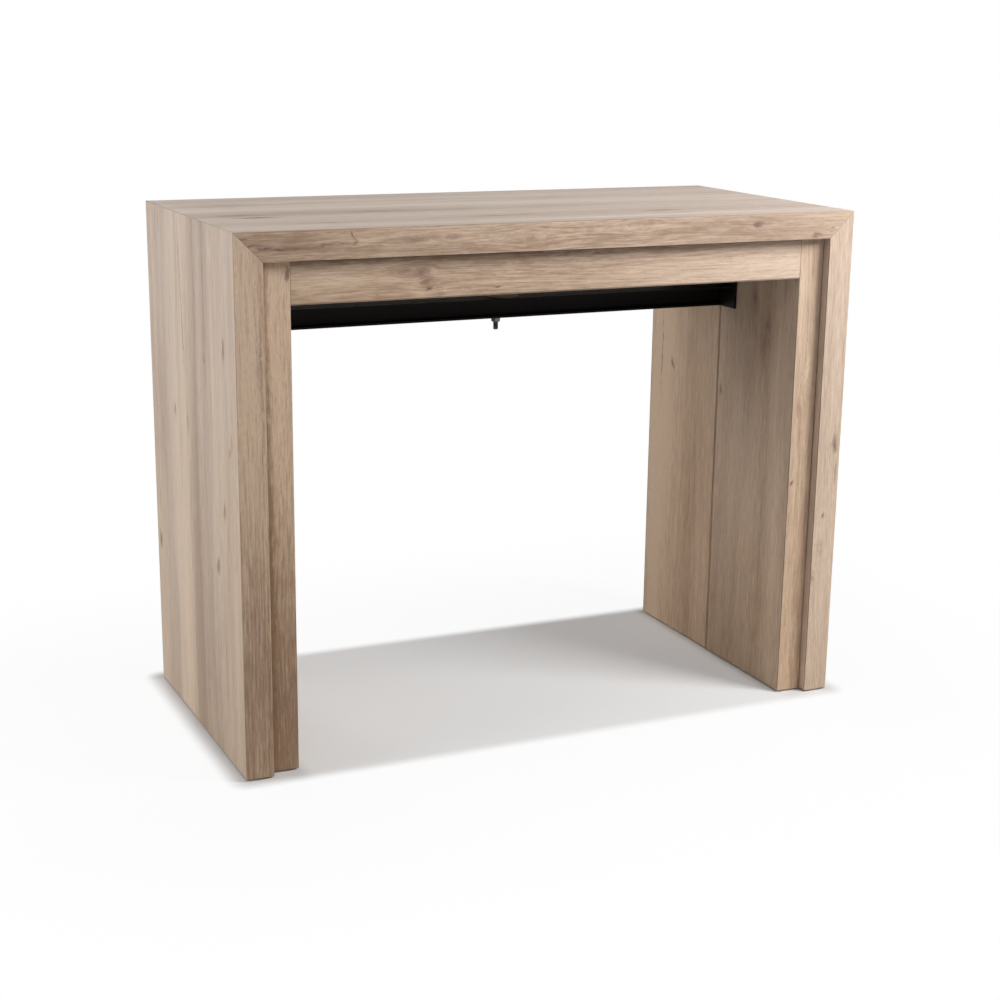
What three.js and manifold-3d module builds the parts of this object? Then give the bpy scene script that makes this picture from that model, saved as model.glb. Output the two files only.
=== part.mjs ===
// Extendable console table, closed. An outer frame with mitred corners runs the full depth. Inside it
// stands a second frame in two halves: the rear half is fixed, and the front half draws forward on two
// packs of telescopic guides, to make room for loose leaves that rest on the guides.
//
// Millimetres. X runs along the width, Y from front to rear, Z up. The origin is on the floor, under
// the middle of the closed table. Left and right are as seen from the front.

import * as THREE from "three";
import { mergeVertices } from "three/addons/utils/BufferGeometryUtils.js";
import Module from "manifold-3d";

const wasm = await Module();
wasm.setup();

// Overall sizes
const tableWidth = 960;
const tableDepth = 460;
const tableHeight = 760;

// Boards
const panelThickness = 40; // outer frame
const legThickness = 40; // half legs of the inner frame
const frontSetback = 15; // inner frame behind the outer frame's front edge
const apronDrop = 60; // apron's lower edge below the underside of the top
const apronThickness = 22;
const arris = 0.8; // small chamfer along the boards' edges

// Clearances
const slideClearance = 1; // round the front frame, where it slides in the outer frame
const seamGap = 3; // between the front and rear half legs when closed
const fitGap = 0.3; // round a fitted piece, such as a dowel in its hole
const cutOverrun = 5; // how far a cutting tool runs past the face it opens

// Extension
const leafDepth = 450;
const leafCount = 4;
const slideCount = 6; // sliding joints in each pack of guides

// Guide members, extruded
const guideEndPlay = 5; // a member is this much shorter than the space between the aprons
const guideRise = 1; // foot of the guides above the aprons' lower edges
const guideWidth = 10;
const guideWall = 2;
const guideArris = 0.6;
const runClearance = 0.4; // between two members
const lipThickness = 2.4; // beside the mouth of the T slot
const slotMiddle = 24; // above the member's foot
const slotMouth = 12.8;
const chamberHeight = 22.8;
const chamberDepth = 4.2;
const stopMiddle = 6; // stop groove's middle below the member's top
const stopDepth = 3;
const stopPinRadius = 2.5;
const stopPinInset = 20; // stop pin from the member's rear end
const carrierFoot = 1.5; // how far the member that carries the cross bar reaches below the others

// Runners, which hold the fixed members under the top
const runnerWidth = 28;
const runnerScrewRadius = 2.75;
const runnerHeadRadius = 5.5;
const runnerHeadDepth = 24;
const runnerScrewShares = [-0.38, 0, 0.38]; // of the runner's length, from its middle

// Cross bar and its hangers, folded sheet steel
const sheetThickness = 3;
const bendRadius = 1.2; // inside of a fold
const barFrontInset = 188.5; // top flange's front edge behind the table's front
const barBottomDrop = 130; // below the underside of the top
const barHeight = 36;
const topFlangeDepth = 57;
const bottomFlangeDepth = 15;
const hangerSideGap = 1.5; // between a hanger and the leg beside it
const tabHoleRadius = 2.6;
const tabHoleShares = [-0.27, 0.27]; // of the hanger's depth, from its middle

// Fittings on the cross bar
const restPadRadius = 24;
const restPadHeight = 2;
const restPadInset = 1; // behind the top flange's front edge
const studRadius = 4;
const studReach = 18; // below the bar
const studTipChamfer = 1;
const nutAcrossFlats = 13;
const nutHeight = 6.5;
const nutChamfer = 1;

// Joinery and feet
const splineThickness = 4;
const splineWidth = 24;
const splineEndInset = 30; // from the frame's front and rear edges
const splineChamfer = 0.8;
const mitreGap = 0.3;
const dowelRadius = 4;
const dowelLength = 36;
const dowelChamfer = 1;
const dowelSpacing = 32;
const footRadius = 11;
const footHeight = 2;
const footChamfer = 0.5;
const footEndInset = 34; // from a panel's front or rear edge

// Facets of round forms
const roundSides = 32;
const smallRoundSides = 16;
const arcSteps = 4;

const oak = { color: 0xc6a98b, roughness: 0.62, metalness: 0 };
const beech = { color: 0xd8b98c, roughness: 0.7, metalness: 0 };
const blackSteel = { color: 0x141210, roughness: 0.45, metalness: 0.4 };
const blackAluminium = { color: 0x1b1b1d, roughness: 0.38, metalness: 0.8 };
const zincSteel = { color: 0x9a9ca0, roughness: 0.35, metalness: 0.9 };
const greyPlastic = { color: 0x8f8a84, roughness: 0.6, metalness: 0 };
const blackPlastic = { color: 0x1c1c1c, roughness: 0.7, metalness: 0 };

// Places that several pieces share
const sides = [{ name: "left", sign: -1 }, { name: "right", sign: 1 }];
const halfWidth = tableWidth / 2;
const frontPlane = -tableDepth / 2;
const rearPlane = tableDepth / 2;
const topUnderside = tableHeight - panelThickness;
const outerSideFace = halfWidth - panelThickness;
const innerFrameFront = frontPlane + frontSetback;
const halfLegDepth = (rearPlane - innerFrameFront - seamGap) / 2;
const rearLegFace = outerSideFace - legThickness;
const frontLegFace = rearLegFace - slideClearance;
const frontFrameTop = topUnderside - slideClearance;
const apronBottom = topUnderside - apronDrop;
const frontApronBack = innerFrameFront + apronThickness;
const rearApronFront = rearPlane - apronThickness;

const guideLength = rearApronFront - frontApronBack - guideEndPlay;
const guidePitch = guideWidth + runClearance;
const guideFoot = apronBottom + guideRise;
const guideHeight = frontFrameTop - guideFoot;
const guideStagger = guideEndPlay / slideCount;
const carrierIndex = Math.floor(slideCount / 2);
const slideTravel = (leafDepth * leafCount) / slideCount;
const memberFace = (index) => frontLegFace - (slideCount - index) * guidePitch - guideWidth;
const memberFront = (index) => rearApronFront - guideLength - index * guideStagger;

const barBottom = topUnderside - barBottomDrop;
const barTop = barBottom + barHeight;
const barFront = frontPlane + barFrontInset;
const hangerFace = frontLegFace - hangerSideGap;

// Geometry helpers

function moved(geometry, x, y, z) {
  return geometry.translate(x, y, z);
}

// Extrudes an outline of the XZ plane along Y, from zero to the depth.
function alongDepth(outline, depth) {
  const geometry = new THREE.ExtrudeGeometry(outline, { depth, bevelEnabled: false });
  return moved(geometry.rotateX(Math.PI / 2), 0, depth, 0);
}

// Extrudes an outline of the YZ plane along X, from zero to the width.
function alongWidth(outline, width) {
  const geometry = new THREE.ExtrudeGeometry(outline, { depth: width, bevelEnabled: false });
  const turn = new THREE.Matrix4().makeBasis(
    new THREE.Vector3(0, 1, 0),
    new THREE.Vector3(0, 0, 1),
    new THREE.Vector3(1, 0, 0)
  );
  return geometry.applyMatrix4(turn);
}

// Extrudes an outline of the XY plane along Z, from zero to the height.
function alongHeight(outline, height) {
  return new THREE.ExtrudeGeometry(outline, { depth: height, bevelEnabled: false });
}

// Outlines and their holes all run counter-clockwise, so that the walls of both face outwards.
function outlineOf(points) {
  const corners = points.map(([a, b]) => new THREE.Vector2(a, b));
  return new THREE.Shape(THREE.ShapeUtils.isClockWise(corners) ? corners.reverse() : corners);
}

// A rectangle with its lower corner at zero and its corners cut by a chamfer.
function boardOutline(width, height, chamfer) {
  return outlineOf([
    [chamfer, 0],
    [width - chamfer, 0],
    [width, chamfer],
    [width, height - chamfer],
    [width - chamfer, height],
    [chamfer, height],
    [0, height - chamfer],
    [0, chamfer]
  ]);
}

// A slot with round ends, its end centres at the two places along the first axis.
function slotOutline(first, last, radius) {
  const slot = new THREE.Shape();
  slot.absarc(last, 0, radius, -Math.PI / 2, Math.PI / 2, false);
  slot.absarc(first, 0, radius, Math.PI / 2, Math.PI * 1.5, false);
  return slot;
}

// Revolves a profile of radius and height pairs about Z.
function revolved(profile, segments) {
  const points = profile.map(([radius, height]) => new THREE.Vector2(radius, height));
  return new THREE.LatheGeometry(points, segments).rotateX(Math.PI / 2);
}

// A turned pin from z = 0 upwards, with a chamfer at each end.
function pin(radius, length, chamfer, segments) {
  return revolved(
    [
      [0, 0],
      [radius - chamfer, 0],
      [radius, chamfer],
      [radius, length - chamfer],
      [radius - chamfer, length],
      [0, length]
    ],
    segments
  );
}

// A plain round cutter or peg from z = 0 upwards.
function peg(radius, length, segments) {
  return revolved([[0, 0], [radius, 0], [radius, length], [0, length]], segments);
}

function solidOf(geometry) {
  const bare = geometry.clone();
  bare.deleteAttribute("normal");
  bare.deleteAttribute("uv");
  const merged = mergeVertices(bare);
  const mesh = new wasm.Mesh({
    numProp: 3,
    vertProperties: new Float32Array(merged.attributes.position.array),
    triVerts: new Uint32Array(merged.index.array)
  });
  return new wasm.Manifold(mesh);
}

function geometryOf(solid) {
  const mesh = solid.getMesh();
  const geometry = new THREE.BufferGeometry();
  geometry.setAttribute("position", new THREE.BufferAttribute(mesh.vertProperties, 3));
  geometry.setIndex(new THREE.BufferAttribute(mesh.triVerts, 1));
  geometry.computeVertexNormals();
  return geometry;
}

function cut(geometry, tools) {
  return geometryOf(tools.reduce((solid, tool) => solid.subtract(solidOf(tool)), solidOf(geometry)));
}

function joined(geometry, additions) {
  return geometryOf(additions.reduce((solid, piece) => solid.add(solidOf(piece)), solidOf(geometry)));
}

function common(geometry, other) {
  return geometryOf(solidOf(geometry).intersect(solidOf(other)));
}

function place(group, name, geometry, finish, x, y, z) {
  const mesh = new THREE.Mesh(geometry, new THREE.MeshStandardMaterial(finish));
  mesh.name = name;
  mesh.position.set(x, y, z);
  group.add(mesh);
  return mesh;
}

// Outer frame

// Section of the loose tongue across a mitre, grown by a margin for its pocket.
function splineSection(margin) {
  const width = splineWidth + 2 * margin;
  const thickness = splineThickness + 2 * margin;
  const outline = boardOutline(width, thickness, splineChamfer);
  const depth = tableDepth - 2 * splineEndInset + 2 * margin;
  return moved(alongDepth(outline, depth), -width / 2, -depth / 2, -thickness / 2);
}

// The mitre falls from the outer top corner to the inner one, so the tongue crosses it at 45 degrees.
function splinePocket(sign, x, z) {
  return moved(splineSection(fitGap).rotateY((sign * Math.PI) / 4), x, 0, z);
}

function outerTop() {
  const outline = outlineOf([
    [-outerSideFace, 0],
    [outerSideFace, 0],
    [halfWidth, panelThickness],
    [-halfWidth, panelThickness]
  ]);
  const board = moved(alongDepth(outline, tableDepth), 0, -tableDepth / 2, 0);
  const mitreMiddle = outerSideFace + panelThickness / 2;
  const pockets = sides.map(({ sign }) => splinePocket(sign, sign * mitreMiddle, panelThickness / 2));
  return cut(board, pockets);
}

// A side panel stands on its lower edge, with its inner face at x = 0.
function outerSide(sign) {
  const shortening = mitreGap * Math.SQRT2;
  const outerEdge = tableHeight - footHeight - shortening;
  const innerEdge = topUnderside - footHeight - shortening;
  const outline = outlineOf([
    [0, 0],
    [sign * panelThickness, 0],
    [sign * panelThickness, outerEdge],
    [0, innerEdge]
  ]);
  const board = moved(alongDepth(outline, tableDepth), 0, -tableDepth / 2, 0);
  const pocketHeight = topUnderside - footHeight + panelThickness / 2;
  return cut(board, [splinePocket(sign, (sign * panelThickness) / 2, pocketHeight)]);
}

// Inner frame

// Centres of the dowels that hold an apron, above the apron's lower edge.
function dowelHeights(apronHeight) {
  return [-dowelSpacing / 2, dowelSpacing / 2].map((offset) => apronHeight / 2 + offset);
}

// A dowel hole along X, centred on x = 0, y = 0, z = 0.
function dowelHole() {
  const length = dowelLength + 2 * fitGap;
  const hole = peg(dowelRadius + fitGap, length, smallRoundSides).rotateY(Math.PI / 2);
  return moved(hole, -length / 2, 0, 0);
}

// A half leg stands on its lower edge. Its inner face is at x = 0, and y = 0 is its front edge.
function halfLeg(sign, height, apronMiddle, apronHeight) {
  const outline = boardOutline(legThickness, halfLegDepth, arris);
  const start = sign > 0 ? 0 : -legThickness;
  const board = moved(alongHeight(outline, height), start, 0, 0);
  const holes = dowelHeights(apronHeight).map((offset) =>
    moved(dowelHole(), 0, apronMiddle, height - apronHeight + offset)
  );
  return cut(board, holes);
}

// An apron between two half legs, centred on x = 0, with its front face at y = 0.
function apron(length, height) {
  const outline = boardOutline(apronThickness, height, arris);
  const board = moved(alongWidth(outline, length), -length / 2, 0, 0);
  const holes = sides.flatMap(({ sign }) =>
    dowelHeights(height).map((offset) => moved(dowelHole(), (sign * length) / 2, apronThickness / 2, offset))
  );
  return cut(board, holes);
}

function apronDowels(group, prefix, faceX, middleY, bottomZ, apronHeight) {
  for (const { name, sign } of sides) {
    dowelHeights(apronHeight).forEach((offset, index) => {
      const level = index === 0 ? "lower" : "upper";
      const dowel = pin(dowelRadius, dowelLength, dowelChamfer, smallRoundSides);
      moved(dowel, 0, 0, -dowelLength / 2).rotateY(Math.PI / 2);
      place(group, `${prefix}_dowel_${name}_${level}`, dowel, beech, sign * faceX, middleY, bottomZ + offset);
    });
  }
}

function feet(group, prefix, x, frontEdge, rearEdge) {
  const spots = [
    { end: "front", y: frontEdge + footEndInset },
    { end: "rear", y: rearEdge - footEndInset }
  ];
  for (const { end, y } of spots) {
    const foot = revolved(
      [[0, 0], [footRadius - footChamfer, 0], [footRadius, footChamfer], [footRadius, footHeight], [0, footHeight]],
      smallRoundSides
    );
    place(group, `${prefix}_foot_${end}`, foot, blackPlastic, x, y, 0);
  }
}

// Telescopic guides

// Section of a member: inner face at x = 0 and foot at z = 0. Its T slot opens inwards, on the member
// before it in the pack, and its T tongue reaches outwards into the slot of the member after it.
function guideSection({ sign, hasSlot, hasTongue, foot }) {
  const tongueNeck = slotMouth - 2 * runClearance;
  const tongueHead = chamberHeight - 2 * runClearance;
  const neckEnd = guideWidth + lipThickness + 2 * runClearance;
  const headEnd = neckEnd + chamberDepth - 2 * runClearance;
  const chamberEnd = lipThickness + chamberDepth;
  const points = [
    [guideArris, -foot],
    [guideWidth - guideArris, -foot],
    [guideWidth, guideArris - foot]
  ];
  if (hasTongue) {
    points.push(
      [guideWidth, slotMiddle - tongueNeck / 2],
      [neckEnd, slotMiddle - tongueNeck / 2],
      [neckEnd, slotMiddle - tongueHead / 2],
      [headEnd, slotMiddle - tongueHead / 2],
      [headEnd, slotMiddle + tongueHead / 2],
      [neckEnd, slotMiddle + tongueHead / 2],
      [neckEnd, slotMiddle + tongueNeck / 2],
      [guideWidth, slotMiddle + tongueNeck / 2]
    );
  }
  points.push(
    [guideWidth, guideHeight - guideArris],
    [guideWidth - guideArris, guideHeight],
    [guideArris, guideHeight],
    [0, guideHeight - guideArris]
  );
  if (hasSlot) {
    points.push(
      [0, slotMiddle + slotMouth / 2],
      [lipThickness, slotMiddle + slotMouth / 2],
      [lipThickness, slotMiddle + chamberHeight / 2],
      [chamberEnd, slotMiddle + chamberHeight / 2],
      [chamberEnd, slotMiddle - chamberHeight / 2],
      [lipThickness, slotMiddle - chamberHeight / 2],
      [lipThickness, slotMiddle - slotMouth / 2],
      [0, slotMiddle - slotMouth / 2]
    );
  }
  points.push([0, guideArris - foot]);
  const outline = outlineOf(points.map(([x, z]) => [sign * x, z]));
  outline.holes.push(...guideHollows(sign, foot));
  return outline;
}

// The two hollow chambers above and below the T slot.
function guideHollows(sign, foot) {
  const slotBottom = slotMiddle - chamberHeight / 2;
  const slotTop = slotMiddle + chamberHeight / 2;
  const grooveBottom = guideHeight - stopMiddle - stopPinRadius - runClearance;
  const spans = [
    [guideWall - foot, slotBottom - guideWall],
    [slotTop + guideWall, grooveBottom - guideWall]
  ];
  return spans.map(([low, high]) =>
    outlineOf([
      [sign * guideWall, low],
      [sign * (guideWidth - guideWall), low],
      [sign * (guideWidth - guideWall), high],
      [sign * guideWall, high]
    ])
  );
}

// Stop pin on the inner face, which runs in the groove of the member before this one.
function stopPin(sign) {
  const length = stopDepth + guideWall;
  const body = peg(stopPinRadius, length, smallRoundSides).rotateY(Math.PI / 2);
  const start = sign > 0 ? -stopDepth : -guideWall;
  return moved(body, start, guideLength - stopPinInset, guideHeight - stopMiddle);
}

// Groove on the outer face. The stop pin of the member after this one travels along it.
function stopGroove(sign) {
  const last = guideLength - stopPinInset - guideStagger;
  const outline = slotOutline(last - slideTravel, last, stopPinRadius + runClearance);
  const width = stopDepth + cutOverrun;
  const start = sign > 0 ? guideWidth - stopDepth : -guideWidth - cutOverrun;
  return moved(alongWidth(outline, width), start, 0, guideHeight - stopMiddle);
}

function guideMember(sign, index) {
  const hasSlot = index > 0;
  const hasTongue = index < slideCount;
  const foot = index === carrierIndex ? carrierFoot : 0;
  const bar = alongDepth(guideSection({ sign, hasSlot, hasTongue, foot }), guideLength);
  const grooved = hasTongue ? cut(bar, [stopGroove(sign)]) : bar;
  return hasSlot ? joined(grooved, [stopPin(sign)]) : grooved;
}

function guideName(index) {
  if (index === 0) {
    return "guide_fixed";
  }
  return index === slideCount ? "guide_front" : `guide_stage${index}`;
}

function placeGuides(group, index) {
  for (const { name, sign } of sides) {
    const member = guideMember(sign, index);
    const finish = blackAluminium;
    place(group, `${guideName(index)}_${name}`, member, finish, sign * memberFace(index), memberFront(index), guideFoot);
  }
}

// A runner hangs under the top, with its upper face at z = 0, centred on x = 0 and y = 0. Its screws
// go up from counterbored holes.
function runner() {
  const height = topUnderside - guideFoot;
  const outline = boardOutline(runnerWidth, height, arris);
  const batten = moved(alongDepth(outline, guideLength), -runnerWidth / 2, -guideLength / 2, -height);
  const drill = [
    [0, -height - cutOverrun],
    [runnerHeadRadius, -height - cutOverrun],
    [runnerHeadRadius, runnerHeadDepth - height],
    [runnerScrewRadius, runnerHeadDepth - height],
    [runnerScrewRadius, cutOverrun],
    [0, cutOverrun]
  ];
  const holes = runnerScrewShares.map((share) =>
    moved(revolved(drill, smallRoundSides), 0, share * guideLength, 0)
  );
  return cut(batten, holes);
}

// Cross bar

// One fold of a sheet: arc points about a centre, from one angle to another.
function foldArc(centreA, centreB, radius, from, to) {
  return Array.from({ length: arcSteps + 1 }, (_, step) => {
    const angle = from + ((to - from) * step) / arcSteps;
    return [centreA + radius * Math.cos(angle), centreB + radius * Math.sin(angle)];
  });
}

// C section, open to the front: a deep top flange, an upright web at the rear and a narrow bottom flange.
function crossBar() {
  const outside = bendRadius + sheetThickness;
  const quarter = Math.PI / 2;
  const lip = topFlangeDepth - bottomFlangeDepth;
  const upper = { y: topFlangeDepth - outside, z: barHeight - outside };
  const lower = { y: topFlangeDepth - outside, z: outside };
  const outline = outlineOf([
    [0, barHeight],
    [0, barHeight - sheetThickness],
    ...foldArc(upper.y, upper.z, bendRadius, quarter, 0),
    ...foldArc(lower.y, lower.z, bendRadius, 0, -quarter),
    [lip, sheetThickness],
    [lip, 0],
    ...foldArc(lower.y, lower.z, outside, -quarter, 0),
    ...foldArc(upper.y, upper.z, outside, 0, quarter)
  ]);
  const length = 2 * (hangerFace - sheetThickness);
  return moved(alongWidth(outline, length), -length / 2, 0, 0);
}

// A hanger: an end plate down the leg's side, folded at the top into a tab that runs inwards under the
// guides to the member that carries it. Its outer face is at x = 0, and z = 0 is the bar's lower edge.
function hanger(sign) {
  const height = guideFoot - carrierFoot - barBottom;
  const tabReach = hangerFace - memberFace(carrierIndex);
  const outside = bendRadius + sheetThickness;
  const corner = { x: -outside, z: height - outside };
  const quarter = Math.PI / 2;
  const points = [
    [-sheetThickness, 0],
    [0, 0],
    ...foldArc(corner.x, corner.z, outside, 0, quarter),
    [-tabReach, height],
    [-tabReach, height - sheetThickness],
    ...foldArc(corner.x, corner.z, bendRadius, quarter, 0)
  ];
  const outline = outlineOf(points.map(([x, z]) => [sign * x, z]));
  const plate = alongDepth(outline, topFlangeDepth);
  const holeX = -sign * (tabReach - guideWidth / 2);
  const holes = tabHoleShares.map((share) => {
    const drill = peg(tabHoleRadius, sheetThickness + 2 * cutOverrun, smallRoundSides);
    const y = topFlangeDepth / 2 + share * topFlangeDepth;
    return moved(drill, holeX, y, height - sheetThickness - cutOverrun);
  });
  return cut(plate, holes);
}

function hexagonOutline(acrossFlats) {
  const radius = acrossFlats / Math.sqrt(3);
  return outlineOf(
    Array.from({ length: 6 }, (_, corner) => {
      const angle = (corner * Math.PI) / 3;
      return [radius * Math.cos(angle), radius * Math.sin(angle)];
    })
  );
}

// A hexagon nut from z = 0 upwards, its corners turned off at both ends.
function hexNut() {
  const outerRadius = nutAcrossFlats / Math.sqrt(3);
  const turned = pin(outerRadius, nutHeight, nutChamfer, roundSides);
  const bore = moved(peg(studRadius + fitGap, nutHeight + 2 * cutOverrun, smallRoundSides), 0, 0, -cutOverrun);
  return cut(common(alongHeight(hexagonOutline(nutAcrossFlats), nutHeight), turned), [bore]);
}

// Assemblies

function fixedFrame() {
  const group = new THREE.Group();
  place(group, "outer_top", outerTop(), oak, 0, 0, topUnderside);
  const legHeight = topUnderside - footHeight;
  const rearApronMiddle = halfLegDepth - apronThickness / 2;
  const rearLegFront = rearPlane - halfLegDepth;
  for (const { name, sign } of sides) {
    const mitreX = sign * (outerSideFace + panelThickness / 2);
    const leg = halfLeg(sign, legHeight, rearApronMiddle, apronDrop);
    const runnerX = sign * (memberFace(0) - runnerWidth / 2);
    const runnerY = memberFront(0) + guideLength / 2;
    place(group, `outer_side_${name}`, outerSide(sign), oak, sign * outerSideFace, 0, footHeight);
    const spline = place(
      group, `mitre_spline_${name}`, splineSection(0), beech, mitreX, 0, topUnderside + panelThickness / 2
    );
    spline.rotation.y = (sign * Math.PI) / 4;
    place(group, `rear_leg_${name}`, leg, oak, sign * rearLegFace, rearLegFront, footHeight);
    place(group, `runner_${name}`, runner(), beech, runnerX, runnerY, topUnderside);
    feet(group, `side_${name}`, sign * (outerSideFace + panelThickness / 2), frontPlane, rearPlane);
    feet(group, `rear_leg_${name}`, sign * (rearLegFace + legThickness / 2), rearLegFront, rearPlane);
  }
  place(group, "rear_apron", apron(2 * rearLegFace, apronDrop), oak, 0, rearApronFront, apronBottom);
  const dowelY = rearApronFront + apronThickness / 2;
  apronDowels(group, "rear", rearLegFace, dowelY, apronBottom, apronDrop);
  placeGuides(group, 0);
  return group;
}

function guideStage(index) {
  const group = new THREE.Group();
  placeGuides(group, index);
  return group;
}

function crossBarAssembly() {
  const group = new THREE.Group();
  for (const { name, sign } of sides) {
    place(group, `hanger_${name}`, hanger(sign), blackSteel, sign * hangerFace, barFront, barBottom);
  }
  place(group, "cross_bar", crossBar(), blackSteel, 0, barFront, barBottom);
  const padY = barFront + restPadInset + restPadRadius;
  const pad = revolved(
    [[0, 0], [restPadRadius, 0], [restPadRadius, restPadHeight / 2], [restPadRadius - restPadHeight / 2, restPadHeight],
      [0, restPadHeight]],
    roundSides
  );
  place(group, "rest_pad", pad, greyPlastic, 0, padY, barTop);
  const studY = barFront + topFlangeDepth - bottomFlangeDepth / 2;
  const stud = pin(studRadius, studReach, studTipChamfer, smallRoundSides);
  place(group, "leg_stud", stud, zincSteel, 0, studY, barBottom - studReach);
  place(group, "leg_nut", hexNut(), zincSteel, 0, studY, barBottom - nutHeight);
  return group;
}

function frontFrame() {
  const group = new THREE.Group();
  const legHeight = frontFrameTop - footHeight;
  const apronHeight = frontFrameTop - apronBottom;
  for (const { name, sign } of sides) {
    const leg = halfLeg(sign, legHeight, apronThickness / 2, apronHeight);
    place(group, `front_leg_${name}`, leg, oak, sign * frontLegFace, innerFrameFront, footHeight);
    const legMiddle = sign * (frontLegFace + legThickness / 2);
    feet(group, `front_leg_${name}`, legMiddle, innerFrameFront, innerFrameFront + halfLegDepth);
  }
  place(group, "front_apron", apron(2 * frontLegFace, apronHeight), oak, 0, innerFrameFront, apronBottom);
  const dowelY = innerFrameFront + apronThickness / 2;
  apronDowels(group, "front", frontLegFace, dowelY, apronBottom, apronHeight);
  placeGuides(group, slideCount);
  return group;
}

const table = new THREE.Group();
table.add(fixedFrame());
for (let index = 1; index < slideCount; index += 1) {
  const stage = guideStage(index);
  if (index === carrierIndex) {
    stage.add(crossBarAssembly());
  }
  table.add(stage);
}
table.add(frontFrame());

export default table;
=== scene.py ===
"""Looks of an extendable console table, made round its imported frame.

Metres, in the frame's own axes: X along the width, Y from front to rear, Z up from the floor. Left and
right are as seen from the front. Each operator makes one group of pieces and can be run from the panel
in the 3D view's sidebar.
"""
import math
import random
from typing import NamedTuple

import bmesh
import bpy
from bpy.props import FloatProperty, FloatVectorProperty, IntProperty, PointerProperty
from mathutils import Matrix, Vector


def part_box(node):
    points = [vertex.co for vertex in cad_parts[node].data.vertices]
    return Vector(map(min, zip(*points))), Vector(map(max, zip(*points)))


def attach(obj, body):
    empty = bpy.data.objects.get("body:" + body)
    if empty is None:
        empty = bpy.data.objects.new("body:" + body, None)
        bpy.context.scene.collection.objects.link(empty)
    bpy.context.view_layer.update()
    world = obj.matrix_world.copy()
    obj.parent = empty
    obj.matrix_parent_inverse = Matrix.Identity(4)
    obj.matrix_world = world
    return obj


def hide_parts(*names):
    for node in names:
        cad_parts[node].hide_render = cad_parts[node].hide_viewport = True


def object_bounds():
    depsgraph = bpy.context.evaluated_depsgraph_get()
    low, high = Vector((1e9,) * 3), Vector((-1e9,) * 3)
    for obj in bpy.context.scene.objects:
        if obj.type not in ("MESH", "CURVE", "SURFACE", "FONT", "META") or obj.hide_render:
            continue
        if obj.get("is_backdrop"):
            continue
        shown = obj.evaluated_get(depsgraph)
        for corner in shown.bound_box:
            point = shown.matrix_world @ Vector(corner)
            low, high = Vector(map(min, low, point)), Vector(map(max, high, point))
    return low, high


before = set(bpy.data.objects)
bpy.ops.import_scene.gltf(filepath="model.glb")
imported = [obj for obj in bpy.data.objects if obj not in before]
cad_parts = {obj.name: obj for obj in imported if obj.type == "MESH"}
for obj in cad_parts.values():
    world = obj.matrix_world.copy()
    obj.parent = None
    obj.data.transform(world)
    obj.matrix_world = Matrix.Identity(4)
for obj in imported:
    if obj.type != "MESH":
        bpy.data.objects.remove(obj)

bl_info = {
    "name": "Extendable console table",
    "version": (1, 0, 0),
    "blender": (4, 5, 0),
    "location": "View3D > Sidebar > Table",
    "description": "Makes the boards, fittings and stage of an extendable console table round its frame",
    "category": "Object",
}

CAD_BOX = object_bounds()
MM = 0.001
X, Y, Z = 0, 1, 2
SHEET_THICKNESS = 3 * MM

FIXED = "fixed_frame"
FRONT = "front_frame"
CARRIER = "stage_3"
SIDES = (("left", -1), ("right", 1))


def srgb(red, green, blue):
    """A screen colour from 0 to 255 as the linear colour that a shader takes."""
    shares = [value / 255 for value in (red, green, blue)]
    return tuple(s / 12.92 if s <= 0.04045 else ((s + 0.055) / 1.055) ** 2.4 for s in shares)


def colour_setting(name, description, red, green, blue):
    return FloatVectorProperty(
        name=name, description=description, subtype="COLOR", min=0, max=1, default=srgb(red, green, blue)
    )


def length_setting(name, description, default):
    return FloatProperty(name=name, description=description, unit="LENGTH", min=0, default=default)


def power_setting(name, description, default):
    return FloatProperty(name=name, description=description, unit="POWER", default=default)


# Settings

class WoodSettings(bpy.types.PropertyGroup):
    """Sizes and colours of the boards."""

    edge_radius: length_setting("Edge radius", "Rounding along the boards' edges", 0.8 * MM)
    band_thickness: length_setting("Edge band", "Thickness of the band glued on the boards' edges", 2.0 * MM)
    joint_width: length_setting("Glue joint", "Width of the glue joint beside an edge band", 0.3 * MM)
    joint_depth: length_setting("Joint depth", "Depth of the glue joint beside an edge band", 0.25 * MM)
    face_pale: colour_setting("Face, pale", "Pale bands of the wide faces", 214, 195, 176)
    face_deep: colour_setting("Face, deep", "Deep bands of the wide faces", 173, 151, 132)
    edge_pale: colour_setting("Edge, pale", "Pale bands of the edges and aprons", 216, 189, 161)
    edge_deep: colour_setting("Edge, deep", "Deep bands of the edges and aprons", 166, 136, 111)
    knot: colour_setting("Knot", "Heart of the knots", 104, 80, 71)
    stain: colour_setting("Stain", "Wood stained round the knots", 142, 112, 101)
    rings_per_metre: FloatProperty(
        name="Growth rings", description="Growth rings in a metre across the grain", min=1, default=190
    )


class FittingSettings(bpy.types.PropertyGroup):
    """Sizes and colours of the fittings."""

    steel: colour_setting("Coated steel", "Powder coat of the cross bar and its hangers", 15, 11, 9)
    aluminium: colour_setting("Anodised aluminium", "Telescopic guides", 40, 40, 43)
    zinc: colour_setting("Zinc", "Plating of the stud, nut and screws", 112, 113, 115)
    pad: colour_setting("Rest pad", "Moulded pad on the cross bar", 96, 88, 80)
    foot: colour_setting("Feet", "Moulded pads under the boards", 30, 30, 31)
    beech: colour_setting("Beech", "Runners, dowels and mitre tongues", 206, 172, 130)
    screw_head: length_setting("Screw head", "Diameter of a pan head", 8.4 * MM)
    thread_pitch: length_setting("Thread pitch", "Pitch of the stud's thread", 1.25 * MM)
    screw_turn: IntProperty(
        name="Screw turn", description="Seed of the turn of each screw's cross", default=11
    )


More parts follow.
